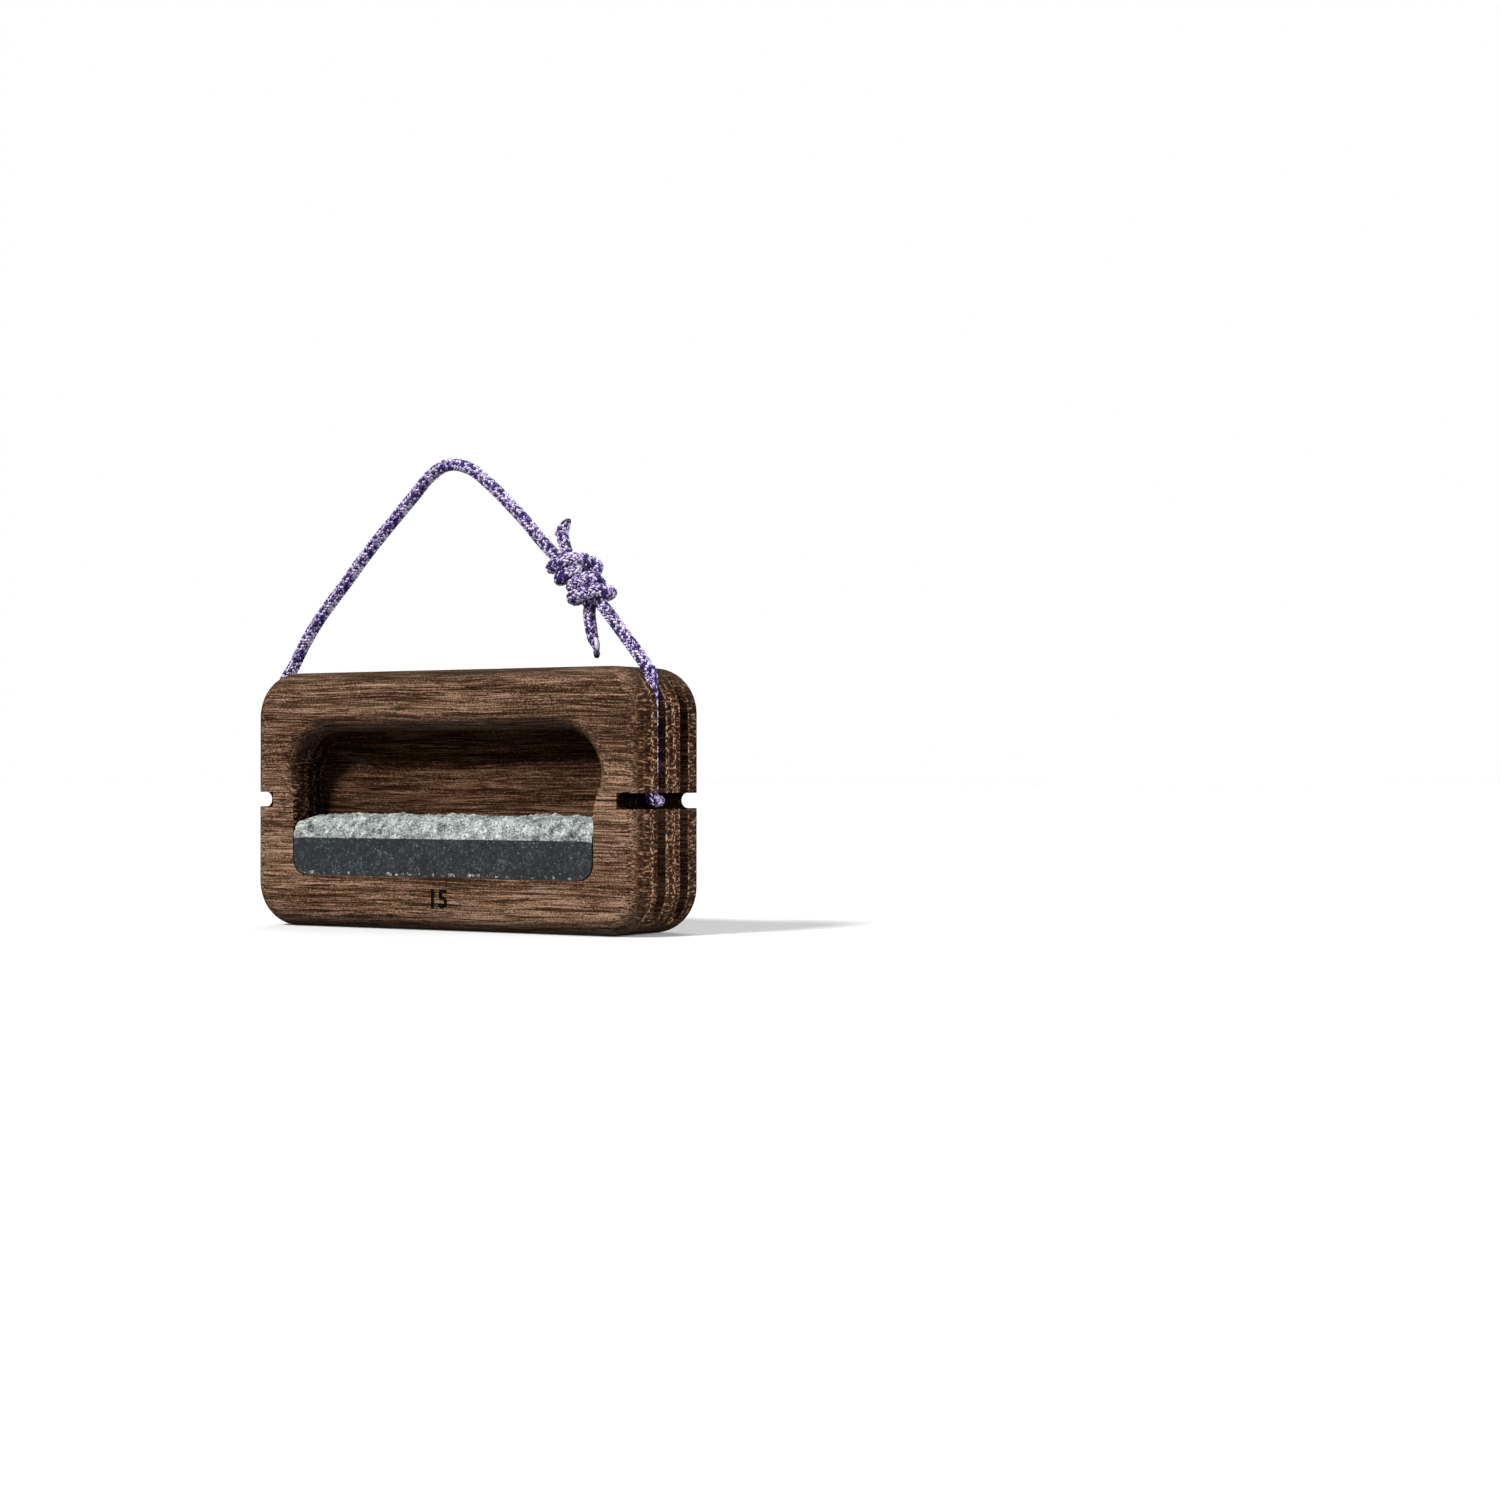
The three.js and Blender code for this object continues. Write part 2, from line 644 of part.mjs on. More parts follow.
const heldStations = stationsOn(heldRunWay(), heldSpacing, heldSpacing);
const leftStations = stationsOn(strandWay(leftLoopRoute, false, lowerTailRoute), freeSpacing, wrapSpacing);
const rightStations = stationsOn(strandWay(rightLoopRoute, true, upperTailRoute), freeSpacing, wrapSpacing);
console.log('left strand, least gap to itself', leastSelfGap(leftStations).toFixed(2));
console.log('right strand, least gap to itself', leastSelfGap(rightStations).toFixed(2));
console.log('between the strands', leastGapBetween(leftStations, rightStations).toFixed(2));
addPiece(hangboard, 'cord_held_run', tubeGeometry(heldStations, cordSides, false), finish.cord);
addPiece(hangboard, 'cord_left_strand', tubeGeometry(leftStations, cordSides, true), finish.cord);
addPiece(hangboard, 'cord_right_strand', tubeGeometry(rightStations, cordSides, true), finish.cord);

export default hangboard;
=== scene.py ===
"""A portable hangboard: a block of smoked oak with stone finger edges, hung from a braided cord.

Metres, +Z up, +X along the board, its front face towards -Y, the origin under its middle.
"""

import json
import math

import bmesh
import bpy
import numpy as np
from mathutils import Matrix, Vector, noise
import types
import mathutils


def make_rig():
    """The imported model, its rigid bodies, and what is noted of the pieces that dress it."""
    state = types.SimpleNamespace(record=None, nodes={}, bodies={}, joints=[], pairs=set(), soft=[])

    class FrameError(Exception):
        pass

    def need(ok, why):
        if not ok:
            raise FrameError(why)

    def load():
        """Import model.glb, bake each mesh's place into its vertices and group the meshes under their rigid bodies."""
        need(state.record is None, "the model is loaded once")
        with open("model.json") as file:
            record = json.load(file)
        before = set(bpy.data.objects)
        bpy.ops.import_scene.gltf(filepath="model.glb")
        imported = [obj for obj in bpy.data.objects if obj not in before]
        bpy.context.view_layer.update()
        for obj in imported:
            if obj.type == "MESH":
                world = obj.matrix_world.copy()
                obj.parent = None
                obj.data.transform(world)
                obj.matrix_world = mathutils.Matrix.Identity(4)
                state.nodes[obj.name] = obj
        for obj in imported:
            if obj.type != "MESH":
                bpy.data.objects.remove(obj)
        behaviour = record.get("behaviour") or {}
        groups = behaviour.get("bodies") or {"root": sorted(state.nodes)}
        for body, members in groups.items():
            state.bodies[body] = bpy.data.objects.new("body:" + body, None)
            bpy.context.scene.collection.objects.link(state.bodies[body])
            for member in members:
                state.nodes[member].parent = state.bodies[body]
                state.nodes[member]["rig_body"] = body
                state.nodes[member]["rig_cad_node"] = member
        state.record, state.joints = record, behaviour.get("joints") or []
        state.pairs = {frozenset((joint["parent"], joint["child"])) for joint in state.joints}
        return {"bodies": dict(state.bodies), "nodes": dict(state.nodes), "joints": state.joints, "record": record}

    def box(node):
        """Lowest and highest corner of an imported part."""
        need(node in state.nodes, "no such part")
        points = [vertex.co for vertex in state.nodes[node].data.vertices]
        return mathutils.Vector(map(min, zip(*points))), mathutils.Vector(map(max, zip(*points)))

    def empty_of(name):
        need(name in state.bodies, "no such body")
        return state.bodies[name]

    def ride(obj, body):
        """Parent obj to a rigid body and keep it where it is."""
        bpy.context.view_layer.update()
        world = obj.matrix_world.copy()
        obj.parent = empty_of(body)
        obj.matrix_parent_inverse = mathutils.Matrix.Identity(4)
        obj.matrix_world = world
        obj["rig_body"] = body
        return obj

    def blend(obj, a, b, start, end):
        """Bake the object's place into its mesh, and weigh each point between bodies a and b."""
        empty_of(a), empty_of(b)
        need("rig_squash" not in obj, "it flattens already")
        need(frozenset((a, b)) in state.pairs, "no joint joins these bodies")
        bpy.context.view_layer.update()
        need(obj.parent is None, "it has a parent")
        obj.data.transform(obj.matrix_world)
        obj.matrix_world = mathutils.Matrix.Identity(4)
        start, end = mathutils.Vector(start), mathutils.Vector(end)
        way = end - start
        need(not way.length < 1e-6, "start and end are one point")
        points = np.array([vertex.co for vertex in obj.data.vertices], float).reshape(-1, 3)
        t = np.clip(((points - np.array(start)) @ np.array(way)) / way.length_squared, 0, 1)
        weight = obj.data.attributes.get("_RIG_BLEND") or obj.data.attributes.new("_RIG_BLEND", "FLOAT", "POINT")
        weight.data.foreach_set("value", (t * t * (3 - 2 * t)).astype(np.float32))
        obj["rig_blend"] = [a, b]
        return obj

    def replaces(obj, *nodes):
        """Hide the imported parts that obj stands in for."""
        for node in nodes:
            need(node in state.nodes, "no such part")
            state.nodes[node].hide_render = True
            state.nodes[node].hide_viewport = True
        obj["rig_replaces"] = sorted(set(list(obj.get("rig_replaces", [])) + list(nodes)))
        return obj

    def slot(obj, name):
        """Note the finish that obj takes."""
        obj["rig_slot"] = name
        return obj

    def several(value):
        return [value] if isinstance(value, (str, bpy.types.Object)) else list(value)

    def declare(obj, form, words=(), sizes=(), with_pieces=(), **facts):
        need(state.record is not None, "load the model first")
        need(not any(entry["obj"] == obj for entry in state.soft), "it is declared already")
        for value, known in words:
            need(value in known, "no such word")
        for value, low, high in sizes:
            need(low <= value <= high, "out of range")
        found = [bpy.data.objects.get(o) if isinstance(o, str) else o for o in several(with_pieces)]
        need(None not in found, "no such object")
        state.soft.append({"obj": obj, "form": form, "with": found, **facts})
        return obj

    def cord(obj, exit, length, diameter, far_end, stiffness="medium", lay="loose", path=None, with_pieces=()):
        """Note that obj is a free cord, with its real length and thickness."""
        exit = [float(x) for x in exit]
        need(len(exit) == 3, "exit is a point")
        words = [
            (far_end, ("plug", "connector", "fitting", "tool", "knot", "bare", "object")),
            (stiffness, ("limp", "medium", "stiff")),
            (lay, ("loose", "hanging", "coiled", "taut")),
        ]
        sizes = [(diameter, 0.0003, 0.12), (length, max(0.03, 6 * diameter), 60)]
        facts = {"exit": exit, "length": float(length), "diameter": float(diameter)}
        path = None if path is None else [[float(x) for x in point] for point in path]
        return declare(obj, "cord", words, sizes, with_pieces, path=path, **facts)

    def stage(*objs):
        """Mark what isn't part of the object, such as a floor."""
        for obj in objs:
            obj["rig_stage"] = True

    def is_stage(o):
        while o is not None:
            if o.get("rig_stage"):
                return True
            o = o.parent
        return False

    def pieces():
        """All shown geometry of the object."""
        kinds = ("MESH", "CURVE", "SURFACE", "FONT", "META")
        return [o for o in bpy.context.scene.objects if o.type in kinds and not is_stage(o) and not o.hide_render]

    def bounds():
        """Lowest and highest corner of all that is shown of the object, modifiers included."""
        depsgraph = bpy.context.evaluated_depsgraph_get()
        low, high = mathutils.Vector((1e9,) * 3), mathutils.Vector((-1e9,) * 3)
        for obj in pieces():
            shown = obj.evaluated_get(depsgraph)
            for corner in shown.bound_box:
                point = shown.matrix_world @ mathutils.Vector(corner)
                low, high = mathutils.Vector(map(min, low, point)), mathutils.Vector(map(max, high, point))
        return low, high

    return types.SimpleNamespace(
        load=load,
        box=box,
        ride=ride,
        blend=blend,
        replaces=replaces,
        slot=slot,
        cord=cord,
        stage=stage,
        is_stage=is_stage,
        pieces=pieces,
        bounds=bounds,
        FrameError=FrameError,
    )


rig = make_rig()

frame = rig.load()
CAD_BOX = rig.bounds()
MM = 0.001

# Driving dimensions of the oak block, as its solid has them
BOARD_LOW, BOARD_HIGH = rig.box("wood_board")
BOARD_WIDTH, BOARD_THICKNESS, BOARD_HEIGHT = BOARD_HIGH - BOARD_LOW
FRONT_FACE = BOARD_LOW.y
BOARD_CORNER_RADIUS = 14 * MM
BOARD_EDGE_RADIUS = 6 * MM
SANDED_EDGE_WIDTH = 0.2 * MM
SANDED_EDGE_ANGLE = math.radians(40)
CORNER_SEGMENTS = 20
EDGE_SEGMENTS = 10
SANDED_SEGMENTS = 2

# Driving dimensions of the finger pockets
POCKET_WIDTH = 114.4 * MM
LOWER_RAIL = 16.3 * MM
UPPER_RAIL = 18.8 * MM
POCKET_UPPER_RADIUS = 14 * MM
POCKET_LOWER_RADIUS = 5 * MM
POCKET_UPPER_SEGMENTS = 16
POCKET_LOWER_SEGMENTS = 8
FRONT_POCKET_DEPTH = 15 * MM
REAR_POCKET_DEPTH = 10 * MM
POCKET_RIM_RADIUS = 6.5 * MM
RIM_RUN_OUT_LENGTH = 15 * MM
RIM_STEPS = 9
RUN_OUT_STEPS = 12

# Driving dimensions of the stone bars and the adhesive behind them
STONE_FACE_HEIGHT = 11.8 * MM
STONE_LIP_RISE = 6.2 * MM
STONE_LIP_DEPTH = 4.6 * MM
STONE_TOP_RISE = 0.7 * MM
STONE_SIDE_GAP = 0.4 * MM
ADHESIVE_THICKNESS = 0.4 * MM
STONE_GRID = 0.34 * MM
PLAIN_FACE_GRID = 3 * STONE_GRID
STONE_LIP_STEPS = 12
CHIPPED_HEIGHT = 1.3 * MM

# The split faces: how far they stand in and out, their shells, chunks, chips and grains with a
# size in millimetres and a share of that relief, how the grains' noise is made up, which share of
# a cell is level, and how the relief ends at the lip and the ends
SPLIT_RELIEF = 1.15 * MM
SHELL_SIZE, SHELL_SHARE = 8, 0.7
CHUNK_SIZE, CHUNK_SHARE = 2.6, 1.1
CHIP_SIZE, CHIP_SHARE = 1.1, 0.4
GRAIN_SIZE, GRAIN_SHARE = 0.7, 0.12
GRAIN_FALL_OFF, GRAIN_REFINEMENT, GRAIN_OCTAVES = 0.9, 2.0, 3
CELL_MIDDLE_SHARE = 0.45
LIP_FADE = 0.9 * MM
WORN_END_LENGTH = 4 * MM
WORN_END_DROP = 0.9 * MM
FRONT_STONE_SEED, REAR_STONE_SEED = 3.0, 11.0
SEED_SLANT = 2.7

# The nibbled lower edge of the honed face: its bites' sizes in millimetres, where they begin,
# how steep they are and how deep they go, and the depth from which the stone looks broken
NIBBLED_SHARE = 0.9
BITE_SIZE = 1.3
SMALL_BITE_SIZE, SMALL_BITE_SHARE = 0.5, 0.5
BITE_START = 0.15
BITE_STEEPNESS = 1.6
BITE_LIMIT = 0.6
BROKEN_DEPTH = 0.15 * MM

# Driving dimensions of the channels that hold the cord
GROOVE_WIDTH = 4.4 * MM
GROOVE_DEPTH = 5.8 * MM
GROOVE_SPACING = 12.3 * MM
NOTCH_HEIGHT = 4.6 * MM
NOTCH_DEPTH = 8 * MM
BORE_DIAMETER = 5 * MM
RELIEF_DIAMETER = 5.4 * MM
RELIEF_DEPTH = 3 * MM
CHANNEL_SEGMENTS = 12
ROUND_SEGMENTS = 40
CUT_OVERRUN = 2 * MM

# The depth mark: its height, its middle's height on the face and how deep it is burnt in
MARK_SIZE = 7.8 * MM
MARK_WEIGHT = 0.26 * MM
MARK_HEIGHT = 9.6 * MM
MARK_DEPTH = 0.35 * MM
MARK_CURVE_STEPS = 6

# The oak's growth rings: how far apart, and how deep the first lies under the front face
GROWTH_RING = 3.9
RING_START = 17.5

# Places that follow from the sizes above
POCKET_TOP = BOARD_HEIGHT - UPPER_RAIL
STONE_FOOT = LOWER_RAIL + ADHESIVE_THICKNESS
STONE_LIP = STONE_FOOT + STONE_FACE_HEIGHT
STONE_TOP = STONE_LIP + STONE_LIP_RISE
WEB_MIDDLE = (FRONT_FACE + FRONT_POCKET_DEPTH + BOARD_HIGH.y - REAR_POCKET_DEPTH) / 2
CORD_PLANE = -GROOVE_SPACING / 2
PIVOT_HEIGHT = BOARD_HEIGHT + 2.5 * MM

# How near two places count as the same, how near the cuts' corners are welded, a length that
# counts as nothing, and how much of an edge's direction lies along the axis that it runs along
SAME_PLACE = 1e-6
WELD_DISTANCE = 0.01 * MM
NOTHING = 1e-7
ALONG_SHARE = 0.999

# The angles, in degrees, past which shading leaves an edge sharp
BOARD_SHARP_ANGLE = 35
STONE_SHARP_ANGLE = 50

# The camera stands where the photograph's vanishing lines put it.
CAMERA_PLACE = (0.512923, -0.685377, 0.047609)
CAMERA_PITCH = 0.527
CAMERA_YAW = 31.028
CAMERA_LENS = 65.81
CAMERA_SENSOR = 36
CAMERA_NEAREST, CAMERA_FARTHEST = 0.01, 50


def add_camera():
    data = bpy.data.cameras.new("camera")
    data.sensor_fit = "HORIZONTAL"
    data.sensor_width = CAMERA_SENSOR
    data.lens = CAMERA_LENS
    data.clip_start = CAMERA_NEAREST
    data.clip_end = CAMERA_FARTHEST
    camera = bpy.data.objects.new("camera", data)
    bpy.context.scene.collection.objects.link(camera)
    camera.location = CAMERA_PLACE
    camera.rotation_euler = (math.radians(90 + CAMERA_PITCH), 0, math.radians(CAMERA_YAW))
    bpy.context.scene.camera = camera


def linear(colour):
    """An sRGB hex colour as linear red, green, blue and alpha."""
    parts = [int(colour[i:i + 2], 16) / 255 for i in (1, 3, 5)]
    return [c / 12.92 if c <= 0.04045 else ((c + 0.055) / 1.055) ** 2.4 for c in parts] + [1]


def add_object(name, mesh):
    piece = bpy.data.objects.new(name, mesh)
    bpy.context.scene.collection.objects.link(piece)
    return piece


def object_from(bm, name):
    """A new object that holds a bmesh, which is used up."""
    mesh = bpy.data.meshes.new(name)
    bm.to_mesh(mesh)
    bm.free()
    return add_object(name, mesh)


def settled_mesh(piece):
    """A piece's mesh with its modifiers applied, or its lettering filled."""
    graph = bpy.context.evaluated_depsgraph_get()
    return bpy.data.meshes.new_from_object(piece.evaluated_get(graph))


def smooth_shade(piece, angle):
    """Smooth shading that leaves the edges over an angle sharp."""
    piece.data.shade_smooth()
    piece.data.set_sharp_from_angle(angle=math.radians(angle))


def bevel(bm, edges, radius, segments):
    bmesh.ops.bevel(
        bm, geom=edges, offset=radius, segments=segments, profile=0.5,
        affect="EDGES", clamp_overlap=False, material=-1,
    )


def box_bmesh(low, high):
    """A plain box between two corners, to be shaped further."""
    bm = bmesh.new()
    bmesh.ops.create_cube(bm, size=1)
    low, high = Vector(low), Vector(high)
    bmesh.ops.scale(bm, vec=high - low, verts=bm.verts)
    bmesh.ops.translate(bm, vec=(low + high) / 2, verts=bm.verts)
    return bm


def edges_along(bm, axis, keep=lambda middle: True):
    """The edges that run along one axis and whose middles are wanted."""
    found = []
    for edge in bm.edges:
        way = (edge.verts[1].co - edge.verts[0].co).normalized()
        middle = (edge.verts[0].co + edge.verts[1].co) / 2
        if abs(way[axis]) > ALONG_SHARE and keep(middle):
            found.append(edge)
    return found


# The oak block


def block_bmesh():
    """The uncut block: round corners, and its front and rear edges rounded over."""
    bm = box_bmesh(BOARD_LOW, BOARD_HIGH)
    bevel(bm, edges_along(bm, 1), BOARD_CORNER_RADIUS, CORNER_SEGMENTS)
    half = BOARD_THICKNESS / 2
    for side in (-half, half):
        rim = [e for e in bm.edges if all(abs(v.co.y - side) < SAME_PLACE for v in e.verts)]
        bevel(bm, rim, BOARD_EDGE_RADIUS, EDGE_SEGMENTS)
    return bm


def rim_share(height):
    """How much of the pocket's rounded rim there is at a height: none beside the stone."""
    along = min(max((height - STONE_TOP) / RIM_RUN_OUT_LENGTH, 0), 1)
    return along ** 3 * (along * (along * 6 - 15) + 10)


def pocket_outward(x, z):
    """The outward direction at a place on the pocket's outline."""
    half = POCKET_WIDTH / 2
    for radius, level, way in (
        (POCKET_UPPER_RADIUS, POCKET_TOP, 1),
        (POCKET_LOWER_RADIUS, LOWER_RAIL, -1),
    ):
        across = abs(x) - (half - radius)
        up = (z - level) * way + radius
        if across > NOTHING and up > NOTHING:
            return Vector((math.copysign(across, x), 0, up * way)).normalized()
    if half - abs(x) < SAME_PLACE:
        return Vector((math.copysign(1, x), 0, 0))
    return Vector((0, 0, 1 if z > BOARD_HEIGHT / 2 else -1))


def pocket_bmesh(depth):
    """One finger pocket's inside, cut level where its rim runs out beside the stone."""
    half = POCKET_WIDTH / 2
    middle = (LOWER_RAIL + POCKET_TOP) / 2
    bm = box_bmesh((-half, FRONT_FACE, LOWER_RAIL), (half, FRONT_FACE + depth, POCKET_TOP))
    upper_edges = edges_along(bm, 1, lambda place: place.z > middle)
    bevel(bm, upper_edges, POCKET_UPPER_RADIUS, POCKET_UPPER_SEGMENTS)
    lower_edges = edges_along(bm, 1, lambda place: place.z < middle)
    bevel(bm, lower_edges, POCKET_LOWER_RADIUS, POCKET_LOWER_SEGMENTS)
    for step in range(RUN_OUT_STEPS + 1):
        height = STONE_TOP + RIM_RUN_OUT_LENGTH * step / RUN_OUT_STEPS
        every = list(bm.verts) + list(bm.edges) + list(bm.faces)
        bmesh.ops.bisect_plane(bm, geom=every, plane_co=(0, 0, height), plane_no=(0, 0, 1))
    return bm


def pocket_cutter(depth):
    """One finger pocket, with its ceiling's and upper sides' rim rounded over."""
    bm = pocket_bmesh(depth)
    base_x = bm.verts.layers.float.new("base_x")
    base_z = bm.verts.layers.float.new("base_z")
    for vert in bm.verts:
        vert[base_x], vert[base_z] = vert.co.x, vert.co.z
    mouth = [f for f in bm.faces if all(abs(v.co.y - FRONT_FACE) < SAME_PLACE for v in f.verts)]
    for step in range(RIM_STEPS, -2, -1):
        angle = math.pi / 2 * max(step, 0) / RIM_STEPS
        if step < RIM_STEPS:
            grown = bmesh.ops.extrude_face_region(bm, geom=mouth)["geom"]
            bmesh.ops.delete(bm, geom=[f for f in mouth if f.is_valid], context="FACES")
            bmesh.ops.delete(bm, geom=[e for e in bm.edges if e.is_wire], context="EDGES")
            mouth = [g for g in grown if isinstance(g, bmesh.types.BMFace)]
        for vert in {v for f in mouth for v in f.verts}:
            out = pocket_outward(vert[base_x], vert[base_z])
            radius = POCKET_RIM_RADIUS * rim_share(vert[base_z])
            inward = FRONT_FACE + radius * (1 - math.cos(angle))
            vert.co = Vector((vert[base_x], inward, vert[base_z]))
            vert.co += out * (radius * (1 - math.sin(angle)))
            if step < 0:
                vert.co.y -= CUT_OVERRUN
    bmesh.ops.recalc_face_normals(bm, faces=bm.faces)
    return bm


def channel_cutter(low, high, axis):
    """A channel with a full-round bottom on its inner side, along one axis, in the right end."""
    bm = box_bmesh(low, high)
    width = (Vector(high) - Vector(low))[3 - axis]
    inner_edges = edges_along(bm, axis, lambda place: place.x < (low[0] + high[0]) / 2)
    bevel(bm, inner_edges, width / 2 - SAME_PLACE, CHANNEL_SEGMENTS)
    return bm


def groove_cutters():
    end = BOARD_HIGH.x
    for y in (-GROOVE_SPACING / 2, GROOVE_SPACING / 2):
        yield channel_cutter(
            (end - GROOVE_DEPTH, y - GROOVE_WIDTH / 2, -CUT_OVERRUN),
            (end + CUT_OVERRUN, y + GROOVE_WIDTH / 2, BOARD_HEIGHT + CUT_OVERRUN), 2,
        )


def notch_cutter():
    end, middle = BOARD_HIGH.x, BOARD_HEIGHT / 2
    return channel_cutter(
        (end - NOTCH_DEPTH, BOARD_LOW.y - CUT_OVERRUN, middle - NOTCH_HEIGHT / 2),
        (end + CUT_OVERRUN, BOARD_HIGH.y + CUT_OVERRUN, middle + NOTCH_HEIGHT / 2), 1,
    )


def round_cutter(radius, length, centre, turn):
    """A round cutter along the axis that a turn of Z gives."""
    bm = bmesh.new()
    bmesh.ops.create_cone(
        bm, cap_ends=True, segments=ROUND_SEGMENTS, radius1=radius, radius2=radius, depth=length,
        matrix=Matrix.Translation(centre) @ turn,
    )
    return bm


def bore_cutter():
    length = BOARD_WIDTH - 2 * NOTCH_DEPTH + 2 * CUT_OVERRUN
    centre = (0, WEB_MIDDLE, BOARD_HEIGHT / 2)
    return round_cutter(BORE_DIAMETER / 2, length, centre, Matrix.Rotation(math.pi / 2, 4, "Y"))


def relief_cutter():
    """The shallow round relief at the inner end of the right notch."""
    x = BOARD_HIGH.x - NOTCH_DEPTH + RELIEF_DIAMETER / 2
    y = FRONT_FACE + (RELIEF_DEPTH - CUT_OVERRUN) / 2
    turn = Matrix.Rotation(math.pi / 2, 4, "X")
    return round_cutter(
        RELIEF_DIAMETER / 2, RELIEF_DEPTH + CUT_OVERRUN, (x, y, BOARD_HEIGHT / 2), turn
    )


def mark_cutter():
    """The plain depth number below the front pocket, as a cutter."""
    data = bpy.data.curves.new("depth_mark", "FONT")
    data.body = "15"
    data.size = MARK_SIZE
    data.align_x = "CENTER"
    data.align_y = "CENTER"
    data.extrude = MARK_DEPTH
    data.offset = MARK_WEIGHT
    data.resolution_u = MARK_CURVE_STEPS
    text = add_object("depth_mark", data)
    bm = bmesh.new()
    bm.from_mesh(settled_mesh(text))
    bpy.data.objects.remove(text)
    bmesh.ops.remove_doubles(bm, verts=bm.verts, dist=SAME_PLACE)
    bmesh.ops.recalc_face_normals(bm, faces=bm.faces)
    mark = object_from(bm, "depth_mark")
    mark.data.transform(Matrix.Rotation(math.pi / 2, 4, "X"))
    mark.data.transform(Matrix.Translation((0, FRONT_FACE, MARK_HEIGHT)))
    return mark


def turned_round(bm):
    """The same cutter at the board's other end, or in its other face."""
    bmesh.ops.rotate(bm, matrix=Matrix.Rotation(math.pi, 3, "Z"), verts=bm.verts)
    return bm


def cut_away(board, cutters, finish):
    """Cuts the board with cutters that leave a finish on their cuts, and are used up."""
    for cutter in cutters:
        cutter.data.materials.append(finish)
        cut = board.modifiers.new(cutter.name, "BOOLEAN")
        cut.operation = "DIFFERENCE"
        cut.solver = "EXACT"
        cut.material_mode = "TRANSFER"
        cut.object = cutter
    mesh = settled_mesh(board)
    board.modifiers.clear()
    board.data = mesh
    for cutter in cutters:
        bpy.data.objects.remove(cutter)


def oak_board(oak, burnt_oak):
    board = object_from(block_bmesh(), "oak_board")
    board.data.materials.append(oak)
    board.data.materials.append(burnt_oak)
    shapes = [pocket_cutter(FRONT_POCKET_DEPTH), turned_round(pocket_cutter(REAR_POCKET_DEPTH))]
    shapes += [*groove_cutters(), *(turned_round(groove) for groove in groove_cutters())]
    shapes += [notch_cutter(), turned_round(notch_cutter()), bore_cutter(), relief_cutter()]
    cut_away(board, [object_from(bm, "cutter") for bm in shapes], oak)
    sand_cut_edges(board)
    cut_away(board, [mark_cutter()], burnt_oak)
    smooth_shade(board, BOARD_SHARP_ANGLE)
    weighted = board.modifiers.new("face_normals", "WEIGHTED_NORMAL")
    weighted.keep_sharp = True
    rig.ride(board, "board")
    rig.slot(board, "oak")
    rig.replaces(board, "wood_board")


def sand_cut_edges(board):
    """Takes the bare sharpness off the edges that the cutters left, as sandpaper does."""
    bm = bmesh.new()
    bm.from_mesh(board.data)
    bmesh.ops.remove_doubles(bm, verts=bm.verts, dist=WELD_DISTANCE)
    sharp = [e for e in bm.edges if e.is_manifold and e.calc_face_angle(0) > SANDED_EDGE_ANGLE]
    bevel(bm, sharp, SANDED_EDGE_WIDTH, SANDED_SEGMENTS)
    bm.to_mesh(board.data)
    bm.free()


# The stone bars


def stone_section(depth):
    """A bar's section as depth and height, with how split the stone is there, from the foot of
    its honed face up over the split lip, back along its top and down its rear."""
    foot = (0, STONE_FOOT)
    chipped = (0, STONE_FOOT + CHIPPED_HEIGHT)
    back = depth - ADHESIVE_THICKNESS
    back_foot = (back, STONE_FOOT)
    back_top = (back, STONE_TOP + STONE_TOP_RISE)
    arc = []
    for step in range(STONE_LIP_STEPS + 1):
        angle = math.pi / 2 * step / STONE_LIP_STEPS
        inward = STONE_LIP_DEPTH * (1 - math.cos(angle))
        arc.append((inward, STONE_LIP + STONE_LIP_RISE * math.sin(angle)))
    sides = [(foot, chipped, 0.0), (chipped, (0, STONE_LIP), 0.0)]
    sides += [(low, high, 1.0) for low, high in zip(arc, arc[1:])]
    sides += [((STONE_LIP_DEPTH, STONE_TOP), back_top, 1.0)]
    sides += [(back_top, back_foot, 0.0), (back_foot, foot, 0.0)]
    section = []
    for (y0, z0), (y1, z1), split in sides:
        length = math.hypot(y1 - y0, z1 - z0)
        grid = STONE_GRID if split or length < 2 * CHIPPED_HEIGHT else PLAIN_FACE_GRID
        steps = max(1, round(length / grid))
        for step in range(steps):
            share = step / steps
            section.append((y0 + (y1 - y0) * share, z0 + (z1 - z0) * share, split))
    return section


